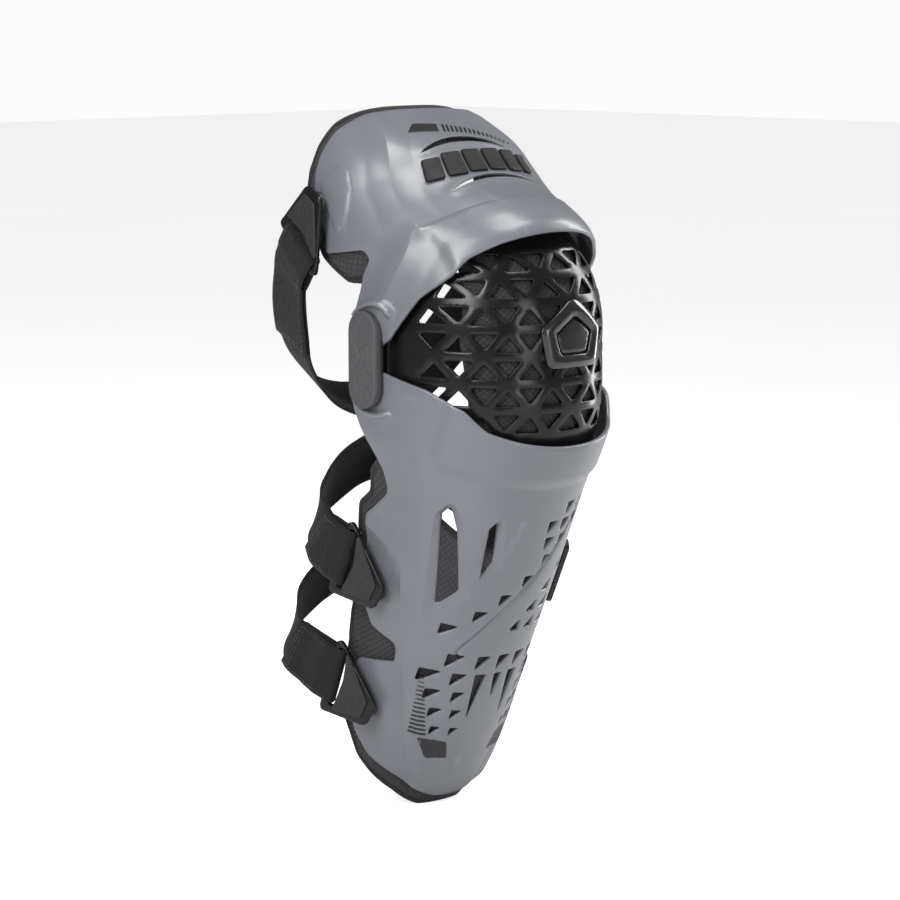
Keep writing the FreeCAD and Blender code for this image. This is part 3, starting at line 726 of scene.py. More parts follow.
def resample_open(line, step=2.0):
    line = np.asarray(line, float)
    along = np.concatenate([[0], np.cumsum(np.linalg.norm(np.diff(line, axis=0), axis=1))])
    at = np.linspace(0, along[-1], max(2, int(along[-1] / step)))
    return np.stack([np.interp(at, along, line[:, k]) for k in (0, 1)], 1)


def knee_cup():
    top = PIVOT_HALF + CUP_R * math.radians(60)
    low = -PIVOT_HALF - CUP_R * math.radians(48)
    edge = ROUND * CUP_SPAN
    outline = even(rounded([(-edge, low, 4), (edge, low, 4), (edge, top, 4), (-edge, top, 4)]), 2.2)
    return sheet("knee_cup_lattice", cup_surface, outline, lattice(), thickness=2.5, edge=0.5, step=2.6)


def knee_liner():
    """The soft lining behind the cup's openings."""
    corners = [(-58, -62, 20), (58, -62, 20), (64, 20, 30), (54, 84, 20), (-54, 84, 20), (-64, 20, 30)]
    outline = []
    for x, z in even(rounded(corners, 3.0), 3.0):
        a = math.asin((abs(x) / CUP_HALF) ** (CUP_POWER / 2))
        outline.append(cup_flat(math.copysign(ROUND * a * 2 / math.pi, x), z))
    return sheet("knee_liner_sheet", cup_surface, turned(np.array(outline), True), thickness=3.5, depth=4.0, edge=1.2,
                 step=3.4)


# ---- soft liners ----
def liner(name, leg, corners):
    """The liner sheet behind a shell; its bound edge shows all round."""
    outline = wrap_outline(leg, corners, 3.0)
    return sheet(name, leg_surface(leg, quilt(leg)), outline, thickness=LINER_T, depth=LINER_DEPTH, edge=1.2,
                 step=3.4, flip=leg["sign"] < 0)


def quilt(leg):
    """Shallow cushions between sewn channels, kept below the shell."""
    def relief(points):
        rows = np.abs(np.sin(math.pi * points[:, 1] / 26))
        return -0.7 * (1 - np.minimum(rows * 2.2, 1)) if leg["sign"] < 0 else np.zeros(len(points))
    return relief


def piping(name, surface, loop, back, half_width, half_depth, depth, sides=10, flip=False):
    """A soft bead that binds the edge of a sheet: an oval carried round the loop."""
    loop = turned(loop, True)
    ahead = np.roll(loop, -1, 0) - np.roll(loop, 1, 0)
    ahead /= np.linalg.norm(ahead, axis=1)[:, None]
    left = np.stack([-ahead[:, 1], ahead[:, 0]], 1)
    rings = []
    uv = []
    along = np.concatenate([[0], np.cumsum(np.linalg.norm(np.diff(loop, axis=0), axis=1))])
    for k in range(sides):
        a = 2 * math.pi * k / sides
        across = math.copysign(abs(math.cos(a)) ** 0.8, math.cos(a)) * half_width
        down = math.copysign(abs(math.sin(a)) ** 0.8, math.sin(a)) * half_depth
        rings.append(surface(loop + left * (back + across), np.full(len(loop), depth + down)))
        uv.append(np.stack([along, np.full(len(loop), k * 2 * half_width / sides)], 1))
    n = len(loop)
    faces = []
    for k in range(sides):
        a, b = np.arange(n) + k * n, np.arange(n) + (k + 1) % sides * n
        faces += [tuple(int(i) for i in q) for q in np.stack([a, np.roll(a, -1), np.roll(b, -1), b], 1)]
    if flip:
        faces = [f[::-1] for f in faces]
    return new_mesh(name, np.concatenate(rings), faces, np.concatenate(uv) * MM)


def binding(name, leg, corners):
    surface = leg_surface(leg, quilt(leg))
    loop = wrap_outline(leg, corners, 3.0)
    return piping(name, surface, loop, 0.9, 2.8, LINER_T / 2 + 0.35, LINER_DEPTH + LINER_T / 2, flip=leg["sign"] > 0)


def swollen(name, node, puff, cap):
    """A pad filled by cloth pressure, starting from its CAD solid."""
    pad = frame["nodes"][node].copy()
    pad.data = frame["nodes"][node].data.copy()
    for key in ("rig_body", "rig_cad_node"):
        del pad[key]
    pad.name = pad.data.name = name
    pad.parent = None
    bpy.context.scene.collection.objects.link(pad)
    apply_modifier(pad, "REMESH", mode="VOXEL", voxel_size=0.004)
    rest = coordinates(pad)
    cloth = pad.modifiers.new("fill", "CLOTH")
    cloth.settings.use_pressure = True
    cloth.settings.uniform_pressure_force = puff
    cloth.settings.effector_weights.gravity = 0
    cloth.settings.tension_stiffness = 25
    cloth.settings.compression_stiffness = 25
    for f in range(1, 21):
        bpy.context.scene.frame_set(f)
    evaluated = pad.evaluated_get(bpy.context.evaluated_depsgraph_get()).to_mesh()
    moved = np.array([v.co for v in evaluated.vertices])
    pad.modifiers.remove(cloth)
    bpy.context.scene.frame_set(1)
    shift = moved - rest
    far = np.linalg.norm(shift, axis=1)
    shift *= np.minimum(1, cap / np.maximum(far, 1e-9))[:, None]
    rest = rest + shift
    pad.data.vertices.foreach_set("co", rest.astype(np.float32).ravel())
    apply_modifier(pad, "SMOOTH", factor=0.5, iterations=3)
    apply_modifier(pad, "SUBSURF", levels=1)
    for p in pad.data.polygons:
        p.use_smooth = True
    return pad


def coordinates(obj):
    return np.array([v.co for v in obj.data.vertices], float)


def apply_modifier(obj, kind, **settings):
    m = obj.modifiers.new(kind.lower(), kind)
    for key, value in settings.items():
        setattr(m, key, value)
    evaluated = obj.evaluated_get(bpy.context.evaluated_depsgraph_get())
    mesh = bpy.data.meshes.new_from_object(evaluated)
    obj.modifiers.remove(m)
    obj.data = mesh


# ---- clips ----
SPOTS = {
    "thigh": {"leg": THIGH, "at": (-93.5, 10.5, 49), "turn": 18.0, "yaw": -5.0, "lean": 8.0},
    "upper_calf": {"leg": SHIN, "at": (-70.5, -7, 96), "turn": 2.0, "yaw": 3.0, "lean": 0.0},
    "lower_calf": {"leg": SHIN, "at": (-65.2, -19, 179), "turn": 0.0, "yaw": 5.0, "lean": 0.0},
}
CLIP_OUTLINE = [(-4, -2, 5), (27, 42, 6), (45, 38, 6), (53, -2, 5)]
CLIP_SLOT = [(3.8, 2.5, 1), (3.8, 9, 1), (24.2, 11.5, 20), (44.6, 9, 1), (44.6, 2.5, 1)]
CLIP_FACE = [(2, 9, 2), (24.5, 14, 16), (47, 9, 2), (41, 34, 3), (28, 36, 3)]
LOOP = 13.0


def clip_directions(spot):
    """Along (across the strap), ahead (towards the catch) and outward, in the leg frame."""
    yaw, turn, lean = (math.radians(spot[k]) for k in ("yaw", "turn", "lean"))
    level = np.array((math.sin(yaw), -math.cos(yaw), 0))
    out = np.array((-math.cos(yaw), -math.sin(yaw), 0))
    axis = np.array((0, 0, spot["leg"]["sign"]))
    along = axis * math.cos(turn) - level * math.sin(turn)
    ahead = level * math.cos(turn) + axis * math.sin(turn)
    return along * math.cos(lean) - out * math.sin(lean), ahead, out * math.cos(lean) + along * math.sin(lean)


def on_clip(spot, a, b, c):
    """Leg frame point of clip coordinates: a across the strap, b towards the catch, c outwards."""
    along, ahead, out = clip_directions(spot)
    x, y, h = spot["at"]
    origin = np.array((x, y, spot["leg"]["sign"] * h))
    a, b, c = (np.asarray(v, float)[..., None] for v in (a, b, c))
    return origin + a * along + b * ahead + c * out


def leg_to_row(leg, p):
    c, s = math.cos(math.radians(leg["tilt"])), math.sin(math.radians(leg["tilt"]))
    x, y, z = p[..., 0], p[..., 1], p[..., 2]
    return np.stack([x, y * c - z * s, y * s + z * c + leg["sign"] * PIVOT_HALF], -1) * MM


def clip_surface(spot, top, relief=None):
    """Flat points are (a, b); depth runs down from the height called top."""
    def surface(points, depth):
        height = top - depth
        if relief is not None:
            height = height + relief(points, depth)
        return leg_to_row(spot["leg"], on_clip(spot, points[:, 0], points[:, 1], height))
    return surface


def clip_flips(spot):
    """Whether (a, b, c) is a left-handed set for this clip."""
    along, ahead, out = clip_directions(spot)
    return float(np.cross(along, ahead) @ out) < 0


def clip_body(name):
    spot = SPOTS[name]
    outline = rounded(CLIP_OUTLINE, 1.2)
    slot_loop = rounded(CLIP_SLOT, 1.2)

    def crown(points, depth):
        near = distance(points, outline)
        bar = smooth((5 - points[:, 1]) / 6)
        return 0.5 * smooth(near / 4) + 0.9 * bar * (depth < 1.5)
    return sheet(name + "_clip_body", clip_surface(spot, CLIP_T, crown), outline, [slot_loop], thickness=CLIP_T,
                 edge=0.9, step=1.8, flip=clip_flips(spot))


def clip_inlay(name):
    """The softer face, with a row of slanted grooves across it."""
    spot = SPOTS[name]
    outline = rounded(CLIP_FACE, 1.0)

    def grooves(points, depth):
        a, b = points[:, 0], points[:, 1]
        slant = a - 0.35 * (b - 22)
        cut = np.zeros(len(points))
        for middle, low, high in ((17, 17, 24), (22, 17, 29), (27, 18, 31), (32, 18, 31), (37, 17, 27)):
            on = smooth(1 - np.abs(slant - middle) / 1.1) * smooth((b - low) / 1.0) * smooth((high - b) / 1.0)
            cut = np.maximum(cut, on)
        return 0.5 - 0.75 * cut * (depth < 0.8)
    return sheet(name + "_clip_inlay", clip_surface(spot, CLIP_T + CLIP_FACE_T, grooves), outline,
                 thickness=CLIP_FACE_T + 0.6, edge=0.35, step=0.8, flip=clip_flips(spot))


# ---- straps ----
STRAPS = {
    "thigh": {
        "path": [(-77, 66, 40, 0.32), (-64, 84, 26, 0.36), (-42, 99, 10, 0.42), (-16, 107, 2, 0.45),
                 (10, 107, 0, 0.42), (36, 98, 6, 0.34), (60, 76, 21, 0.22), (79, 46, 40, 0.1)],
        "wrap": [(1.35, 56), (1.15, 63), (0.98, 68)],
        "tab": 76.0,
    },
    "upper_calf": {
        "path": [(-64, 32, 111, 0), (-50, 41, 99, 0), (-28, 46, 86, 0), (-2, 48, 79, 0), (24, 44, 80, 0),
                 (46, 32, 90, 0), (61, 14, 101, 0)],
        "wrap": [(1.3, 109), (1.0, 113), (0.82, 114), (0.64, 114)],
        "tab": 34.0,
    },
    "lower_calf": {
        "path": [(-66, 22, 200, 0), (-56, 35, 187, 0), (-34, 42, 170, 0), (-6, 44, 160, 0), (22, 40, 162, 0),
                 (44, 28, 172, 0), (57, 8, 184, 0)],
        "wrap": [(1.4, 193), (1.1, 198), (0.9, 200), (0.72, 200)],
        "tab": 44.0,
    },
}
WRAP_GAP = 0.6
BAR_MIDDLE = 3.3           # where the strap's fold turns round the clip's bar


def s_of_u(u):
    return math.copysign(min(abs(u), 1) * ROUND + max(abs(u) - 1, 0) * TAIL, u)


def leg_point(leg, u, h, depth):
    """Leg frame point on a shell's surface."""
    p = np.array([[s_of_u(u), h]])
    x, y = (float(v[0]) for v in section(leg, p[:, 0], p[:, 1]))
    x0, y0 = (float(v[0]) for v in section(leg, p[:, 0] - 0.5, p[:, 1]))
    x1, y1 = (float(v[0]) for v in section(leg, p[:, 0] + 0.5, p[:, 1]))
    length = math.hypot(x1 - x0, y1 - y0)
    return np.array((x - (y1 - y0) / length * depth, y + (x1 - x0) / length * depth, leg["sign"] * h))


def strap_spine(name):
    """(centre points, width directions) of the strap's inner layer, in the leg frame, from the clip to its anchor."""
    spec, spot = STRAPS[name], SPOTS[name]
    leg = spot["leg"]
    along = clip_directions(spot)[0]
    middle = 4 + STRAP_W / 2
    points = [on_clip(spot, middle, b, -0.3 - STRAP_T / 2) for b in (BAR_MIDDLE, -3, -LOOP, -LOOP - 8.5)]
    widths = [along] * 4
    for x, y, h, lean in spec["path"]:
        points.append(np.array((x, y, leg["sign"] * h), float))
        widths.append(np.array((0, lean, leg["sign"]), float))
    for u, h in spec["wrap"]:
        depth = -WRAP_GAP - STRAP_T / 2
        points.append(leg_point(leg, u, h, depth))
        widths.append(leg_point(leg, u, h + 6, depth) - leg_point(leg, u, h - 6, depth))
    widths = [w / np.linalg.norm(w) for w in widths]
    return np.array(points), np.array(widths)


def splined(points, step):
    """A smooth curve through points, evenly spaced; also each sample's position in the list of points."""
    n = len(points)
    ghost = np.concatenate([[2 * points[0] - points[1]], points, [2 * points[-1] - points[-2]]])
    fine, where = [], []
    for i in range(n - 1):
        p0, p1, p2, p3 = ghost[i:i + 4]
        t0 = 0.0
        t1 = t0 + np.linalg.norm(p1 - p0) ** 0.5
        t2 = t1 + np.linalg.norm(p2 - p1) ** 0.5
        t3 = t2 + np.linalg.norm(p3 - p2) ** 0.5
        for k in range(12):
            t = t1 + (t2 - t1) * k / 12
            a1 = (t1 - t) / (t1 - t0) * p0 + (t - t0) / (t1 - t0) * p1
            a2 = (t2 - t) / (t2 - t1) * p1 + (t - t1) / (t2 - t1) * p2
            a3 = (t3 - t) / (t3 - t2) * p2 + (t - t2) / (t3 - t2) * p3
            b1 = (t2 - t) / (t2 - t0) * a1 + (t - t0) / (t2 - t0) * a2
            b2 = (t3 - t) / (t3 - t1) * a2 + (t - t1) / (t3 - t1) * a3
            fine.append((t2 - t) / (t2 - t1) * b1 + (t - t1) / (t2 - t1) * b2)
            where.append(i + k / 12)
    fine.append(points[-1])
    where.append(n - 1)
    fine = np.array(fine)
    along = np.concatenate([[0], np.cumsum(np.linalg.norm(np.diff(fine, axis=0), axis=1))])
    at = np.linspace(0, along[-1], int(along[-1] / step) + 1)
    even_points = np.stack([np.interp(at, along, fine[:, k]) for k in range(3)], 1)
    return even_points, np.interp(at, along, where), at


def strap_frames(name, step=2.5):
    """Samples of the whole strap: the outer tab from its end to the clip, the fold round the bar, then the inner
    layer to the anchor. Returns points, width directions, thickness directions and distance along."""
    spec, spot = STRAPS[name], SPOTS[name]
    points, widths = strap_spine(name)
    line, where, along = splined(points, step)
    w = np.stack([np.interp(where, range(len(widths)), widths[:, k]) for k in range(3)], 1)
    tangent = np.gradient(line, axis=0)
    tangent /= np.linalg.norm(tangent, axis=1)[:, None]
    w -= tangent * np.sum(w * tangent, 1)[:, None]
    w /= np.linalg.norm(w, axis=1)[:, None]
    out = np.cross(tangent, w)
    if out[0] @ clip_directions(spot)[2] < 0:
        out = -out
    tab = along < spec["tab"]
    rise = np.interp(along, [0, LOOP, LOOP + 16, 1e4], [CLIP_T + 0.6 + STRAP_T] * 2 + [STRAP_T + 0.35] * 2)
    outer = (line + out * rise[:, None])[tab][::-1]
    turns = np.linspace(0, math.pi, 9)[1:-1]
    radius = (CLIP_T + 0.6 + STRAP_T) / 2
    ahead = clip_directions(spot)[1]
    middle = line[0] + out[0] * radius
    fold = [middle + out[0] * radius * math.cos(a) + ahead * radius * 1.05 * math.sin(a) for a in turns]
    turned_out = [out[0] * math.cos(a) + ahead * math.sin(a) for a in turns]
    all_points = np.concatenate([outer, fold, line])
    all_widths = np.concatenate([w[tab][::-1], [w[0]] * len(fold), w])
    all_out = np.concatenate([out[tab][::-1], turned_out, -out])
    distance_along = np.concatenate([[0], np.cumsum(np.linalg.norm(np.diff(all_points, axis=0), axis=1))])
    return all_points, all_widths, all_out, distance_along, len(outer)


def strap_section(count=22):
    """(across, thick) points of the webbing's section: flat faces, soft edges and a raised selvedge."""
    pts = []
    half, thick = STRAP_W / 2, STRAP_T / 2
    for side, xs in ((1, np.linspace(-1, 1, count)), (-1, np.linspace(1, -1, count))):
        for x in xs:
            roll = max(0.0, (abs(x) - 0.955) / 0.045)
            lip = 0.12 * math.exp(-((abs(x) - 0.9) / 0.03) ** 2)
            pts.append((x * half, side * (thick * math.sqrt(max(0.02, 1 - roll ** 2)) * 0.92 + lip)))
    return np.array(pts)


def strap(name):
    """Elastic webbing: the sample frames with the section carried along, slightly wavy at its edges."""
    points, widths, outs, along, _ = strap_frames(name)
    profile = strap_section()
    verts, uv = [], []
    for i, p in enumerate(points):
        wave = 0.25 * math.sin(along[i] / 9.0) + 0.15 * math.sin(along[i] / 4.1 + 1)
        across = profile[:, 0] + wave * np.sign(profile[:, 0]) * 0.6
        ripple = 0.18 * np.sin(along[i] / 6.5 + profile[:, 0] / 7) * (np.abs(profile[:, 0]) / 20)
        verts.append(p + across[:, None] * widths[i] + (profile[:, 1] + ripple)[:, None] * outs[i])
        uv.append(np.stack([np.full(len(profile), along[i]), profile[:, 0]], 1))
    n, m = len(profile), len(points)
    faces = []
    for i in range(m - 1):
        a, b = np.arange(n) + i * n, np.arange(n) + (i + 1) * n
        faces += [tuple(int(v) for v in q) for q in np.stack([a, np.roll(a, -1), np.roll(b, -1), b], 1)]
    faces.append(tuple(range(n))[::-1])
    faces.append(tuple(range((m - 1) * n, m * n)))
    leg = SPOTS[name]["leg"]
    obj = new_mesh(name + "_strap_web", leg_to_row(leg, np.concatenate(verts)), faces, np.concatenate(uv) * MM)
    outward(obj)
    return obj


def outward(obj):
    """Turn a closed mesh's faces to point out."""
    mesh = obj.data
    volume = 0.0
    for p in mesh.polygons:
        a = mesh.vertices[p.vertices[0]].co
        for i in range(1, len(p.vertices) - 1):
            b, c = mesh.vertices[p.vertices[i]].co, mesh.vertices[p.vertices[i + 1]].co
            volume += a.dot(b.cross(c))
    if volume < 0:
        mesh.flip_normals()


def stitch_rows(name):
    """Short raised stitches: rows across the strap where its end is sewn down, and along both tab edges."""
    points, widths, outs, along, tab = strap_frames(name)
    leg = SPOTS[name]["leg"]
    capsules = []

    def at(distance_along, across):
        i = np.interp(distance_along, along, range(len(along)))
        k = int(min(i, len(points) - 2))
        f = i - k
        p = points[k] * (1 - f) + points[k + 1] * f
        out, w = outs[k], widths[k]
        return p + w * across + out * (STRAP_T / 2 + 0.02), w, out, points[k + 1] - points[k]
    for edge in (3.0, 5.4):
        for across in np.arange(-16, 16.1, 3.2):
            p, w, out, _ = at(edge, across)
            capsules.append((p, w, out, 2.2))
    end = along[tab - 1]
    for across in (-16.8, 16.8):
        for d in np.arange(4, end - 12, 3.4):
            p, _, out, run = at(d, across)
            capsules.append((p, run / np.linalg.norm(run), out, 2.2))
    verts, faces = [], []
    for p, along_dir, out, length in capsules:
        side = np.cross(along_dir, out)
        start = len(verts)
        for t in (-1, -0.6, 0, 0.6, 1):
            r = 0.34 * math.sqrt(max(0.05, 1 - t * t * 0.9))
            for k in range(6):
                a = 2 * math.pi * k / 6
                verts.append(p + along_dir * t * length / 2 + side * r * math.cos(a) + out * r * math.sin(a))
        for ring in range(4):
            for k in range(6):
                a, b = start + ring * 6 + k, start + ring * 6 + (k + 1) % 6
                faces.append((a, b, b + 6, a + 6))
        faces.append(tuple(start + k for k in range(6))[::-1])
        faces.append(tuple(start + 24 + k for k in range(6)))
    obj = new_mesh(name + "_strap_stitches", leg_to_row(leg, np.array(verts)), faces)
    outward(obj)
    return obj


# ---- hinge covers, badge, emblem ----
COVER_FACE = (89.6, 86.4)


def stadium_loop(radius, step=1.2):
    points = []
    for k in range(48):
        a = 2 * math.pi * k / 48
        z = radius * math.sin(a)
        points.append((radius * math.cos(a), z + math.copysign(PIVOT_HALF, math.sin(a) + 1e-9)))
    return even(np.array(points), step)


def cover_surface(side, relief=None):
    """Flat points are (y, z) on the outside of the knee; the face leans back a little."""
    def surface(points, depth):
        y, z = points[:, 0], points[:, 1]
        front, rear = COVER_FACE
        face = front + (rear - front) * (y + COVER_R) / (2 * COVER_R)
        x = np.maximum(face - depth, 83.75)
        if relief is not None:
            x = x + relief(points) * (depth < 1.0)
        return np.stack([side * x, y, z], -1) * MM
    return surface


COVER_LINES = [
    [(-9, 24), (-2, 27), (5, 18), (5, 6), (-8, 12), (-8, -2)],
    [(9, 14), (1, 1), (9, -6)],
    [(-10, -10), (0, -5), (6, -15), (-4, -27)],
    [(-10, -20), (-2, -17)],
]


def hinge_cover(side, name):
    outline = stadium_loop(COVER_R)

    def relief(points):
        near = distance(points, outline)
        out = 0.45 * smooth(near / 2.4) - 0.35 * smooth((near - 1.2) / 1.0) * smooth((3.0 - near) / 1.0)
        for line in COVER_LINES:
            out -= 0.9 * smooth(1 - distance(points, np.array(line, float), False) / 1.0)
        return out
    return sheet(name, cover_surface(side, relief), outline, thickness=5.85, edge=0.8, step=0.75, flip=side < 0)


def thigh_badge():
    """Raised slanted bars on the front of the thigh shell."""
    surface = leg_surface(THIGH, thigh_relief)
    bars = []
    for k, (x, w) in enumerate(((-47, 13), (-31, 15), (-13, 15), (5, 15), (23, 13), (39, 9))):
        low, high = 66.5 + (1.2 if k in (0, 5) else 0), 86.5 - (1.0 if k in (0, 5) else 0)
        bend = 3.5 * (1 - (x / 50) ** 2)
        slant = 3.5
        corners = [(x - slant, low + bend, 1.6), (x + w - slant, low + bend, 1.6),
                   (x + w + slant, high + bend, 1.6), (x + slant, high + bend, 1.6)]
        bars.append(sheet(f"thigh_badge_bar_{k + 1}", surface, on_front(THIGH, rounded(corners, 1.2)),
                          thickness=2.6, depth=-2.3, edge=0.6, step=1.8))
    return bars


def knee_emblem():
    """A plain five-sided frame with a sunken middle, standing on the nose of the cup."""
    outer = [(-24, 22, 5), (0, 41, 5), (24, 22, 5), (19, -3, 6), (-19, -3, 6)]
    inner = [(-14, 19, 3), (0, 30, 3), (14, 19, 3), (10, 5, 3), (-10, 5, 3)]
    core = [(-12.4, 18, 3), (0, 28, 3), (12.4, 18, 3), (8.8, 6.4, 3), (-8.8, 6.4, 3)]

    def on_cup(corners):
        return np.array([cup_flat(a, b) for a, b in rounded(corners, 1.0)])
    ring_out, ring_in = on_cup(outer), on_cup(inner)

    def swell(points, depth):
        near = np.minimum(distance(points, ring_out), distance(points, ring_in))
        return cup_surface(points, depth - 1.3 * smooth(near / 4) * (depth < 0))
    frame_piece = sheet("knee_emblem_frame", swell, ring_out, [ring_in], thickness=2.2, depth=-2.1, edge=0.5,
                        step=1.4)
    plate = sheet("knee_emblem_plate", cup_surface, on_cup(core), thickness=1.2, depth=-1.0, edge=0.4, step=1.8)
    return [frame_piece, plate]


# ---- printed marks ----
def decal(name, leg, relief, loops):
    """Thin ink shapes just proud of a shell."""
    surface = leg_surface(leg, relief)
    flip = leg["sign"] < 0
    return [sheet(f"{name}_{k + 1}", surface, loop, thickness=0.1, depth=-0.12, edge=0.04, step=2.0, flip=flip)
            for k, loop in enumerate(loops)]


def shin_print(side):
    """Bars that grow towards a solid block, low on each side of the shin."""
    loops = []
    for k in range(16):
        h = 170 + k * 3.1
        width = 1.6 + 6.6 * (k / 15) ** 1.1
        tall = 0.6 + 1.2 * k / 15
        left = -49.5 + k * 0.28
        right = left + width
        loops.append([(left, h, 0.2), (right, h + 0.6, 0.2), (right, h + 0.6 + tall, 0.2), (left, h + tall, 0.2)])
    loops.append([(-41, 220.5, 1), (-23, 223, 1), (-18.5, 236, 1), (-33, 236, 4)])
    return [on_front(SHIN, rounded([(-side * a, b, r) for a, b, r in p], 1.0)) for p in loops]


def thigh_print():
    """A solid block, then bars that fade towards the other side, above the upper slot."""
    loops = [[(-36, 111.5, 1), (-11, 109.5, 0.5), (-5, 118, 0.5), (-24, 120, 5)]]
    for k in range(16):
        x = -7 + k * 3.5
        tall = 8.2 * (1 - k / 20)
        base = 109.2 - 13 * (k / 16) ** 1.4
        ends = [(x, base), (x + 2.0, base - 0.2), (x + 2.0 + tall * 0.7, base + tall - 0.2),
                (x + tall * 0.7, base + tall)]
        loops.append([(a, b, 0.2) for a, b in ends])
    return [on_front(THIGH, rounded(p, 1.0)) for p in loops]


def joined(name, pieces):
    """One object from several closed meshes."""
    verts, faces, uv = [], [], []
    for piece in pieces:
        start = len(verts)
        verts += [v.co[:] for v in piece.data.vertices]
        faces += [tuple(i + start for i in p.vertices) for p in piece.data.polygons]
        layer = piece.data.uv_layers[0].data
        flat = [None] * len(piece.data.vertices)
        for loop in piece.data.loops:
            flat[loop.vertex_index] = layer[loop.index].uv[:]
        uv += flat
        bpy.data.objects.remove(piece)
    return new_mesh(name, verts, faces, uv)


# ---- materials ----
class Finish:
    """A Principled material built node by node."""

    def __init__(self, name, rough=0.5, **inputs):
        self.material = bpy.data.materials.new(name)
        self.material.use_nodes = True
        self.tree = self.material.node_tree
        self.bsdf = self.tree.nodes["Principled BSDF"]
        self.put("Roughness", rough)
        for key, value in inputs.items():
            self.put(key.replace("_", " "), value)

    def put(self, socket, value):
        self.plug(self.bsdf.inputs[socket], value)

    def plug(self, socket, value):
        if isinstance(value, bpy.types.NodeSocket):
            self.tree.links.new(value, socket)
        elif hasattr(value, "__len__") and len(value) == 3 and socket.type == "RGBA":
            socket.default_value = (*value, 1)
        else:
            socket.default_value = value

    def node(self, kind, **settings):
        n = self.tree.nodes.new("ShaderNode" + kind)
        for key, value in settings.items():
            setattr(n, key, value)
        return n

    def place(self, uv=False):
        """Object position in metres, or the flat position of a sheet."""
        return self.node("TexCoord").outputs["UV" if uv else "Object"]

    def scaled(self, vector, scale):
        n = self.node("Mapping")
        self.plug(n.inputs["Vector"], vector)
        n.inputs["Scale"].default_value = scale
        return n.outputs[0]

    def noise(self, scale, detail=3.0, stretch=None):
        n = self.node("TexNoise")
        at = self.place()
        self.plug(n.inputs["Vector"], self.scaled(at, stretch) if stretch else at)
        n.inputs["Scale"].default_value = scale
        n.inputs["Detail"].default_value = detail
        return n.outputs["Fac"]

    def math(self, operation, a, b=0.0):
        n = self.node("Math", operation=operation)
        self.plug(n.inputs[0], a)
        self.plug(n.inputs[1], b)
        return n.outputs[0]

    def ramp(self, value, low, high, to_low=0.0, to_high=1.0):
        n = self.node("MapRange")
        for k, v in enumerate((value, low, high, to_low, to_high)):
            self.plug(n.inputs[k], v)
        return n.outputs[0]

    def mix(self, share, a, b):
        n = self.node("Mix", data_type="RGBA")
        self.plug(n.inputs[0], share)
        self.plug(n.inputs[6], a)
        self.plug(n.inputs[7], b)
        return n.outputs[2]

    def bump(self, height, strength, depth_mm):
        n = self.node("Bump")
        self.plug(n.inputs["Height"], height)
        n.inputs["Strength"].default_value = strength
        n.inputs["Distance"].default_value = depth_mm * MM
        self.put("Normal", n.outputs[0])

    def worn_edges(self, colour, light, share=0.5):
        """The colour, paler along sharp edges."""
        edge = self.ramp(self.node("NewGeometry").outputs["Pointiness"], 0.53, 0.62, 0.0, share)
        return self.mix(edge, colour, light)


def moulded_grey():
    """Semi-gloss grey plastic: faint flow mottling, fine grain and a few hairline scuffs."""
    f = Finish("moulded_grey", Specular_IOR_Level=0.5, Coat_Weight=0.35, Coat_Roughness=0.22)
    mottle = f.noise(14, 4)
    tone = f.mix(f.ramp(mottle, 0.35, 0.65), (0.138, 0.146, 0.161), (0.154, 0.162, 0.178))
    scuff = f.ramp(f.noise(60, 8, stretch=(1, 0.12, 0.5)), 0.66, 0.72, 0, 0.22)
    f.put("Base Color", f.worn_edges(f.mix(scuff, tone, (0.3, 0.32, 0.35)), (0.3, 0.32, 0.345), 0.5))
    f.put("Roughness", f.math("ADD", f.ramp(f.noise(35, 5), 0.3, 0.7, 0.33, 0.43), f.math("MULTIPLY", scuff, 0.5)))
    grain = f.math("ADD", f.noise(2600, 2), f.math("MULTIPLY", f.noise(500, 4), 0.8))
    f.bump(grain, 0.12, 0.06)
    return f.material


def satin_black(name="satin_black", tone=0.011, rough=(0.3, 0.42)):
    """Black moulded plastic with fine grain, patches of dust and paler edges."""
    f = Finish(name, Specular_IOR_Level=0.36)
    dust = f.ramp(f.noise(40, 6), 0.5, 0.75, 0, 0.5)
    colour = f.mix(dust, (tone, tone, tone * 1.08), (tone * 1.7, tone * 1.7, tone * 1.75))
    f.put("Base Color", f.worn_edges(colour, (0.03, 0.03, 0.032), 0.3))
    f.put("Roughness", f.ramp(f.noise(70, 5), 0.3, 0.7, *rough))
    f.bump(f.noise(1900, 3), 0.12, 0.05)
    return f.material


def gloss_black():
    f = Finish("gloss_black", Coat_Weight=0.6, Coat_Roughness=0.08)
    smear = f.noise(30, 6)
    f.put("Base Color", f.mix(smear, (0.008, 0.008, 0.009), (0.014, 0.014, 0.015)))
    f.put("Roughness", f.ramp(smear, 0.3, 0.7, 0.16, 0.27))
    f.bump(f.noise(220, 3), 0.05, 0.1)
    return f.material


def matt_inlay(name, tone, grain=0.25):
    """Soft-touch plastic with a spark-eroded grain."""
    f = Finish(name, rough=0.62, Specular_IOR_Level=0.4)
    mottle = f.noise(50, 5)
    low = tuple(c * 0.86 for c in tone)
    f.put("Base Color", f.worn_edges(f.mix(mottle, low, tone), tuple(min(1, c * 1.5) for c in tone), 0.4))
    f.put("Roughness", f.ramp(mottle, 0.3, 0.7, 0.52, 0.68))
    f.bump(f.noise(1500, 4), grain, 0.12)
    return f.material


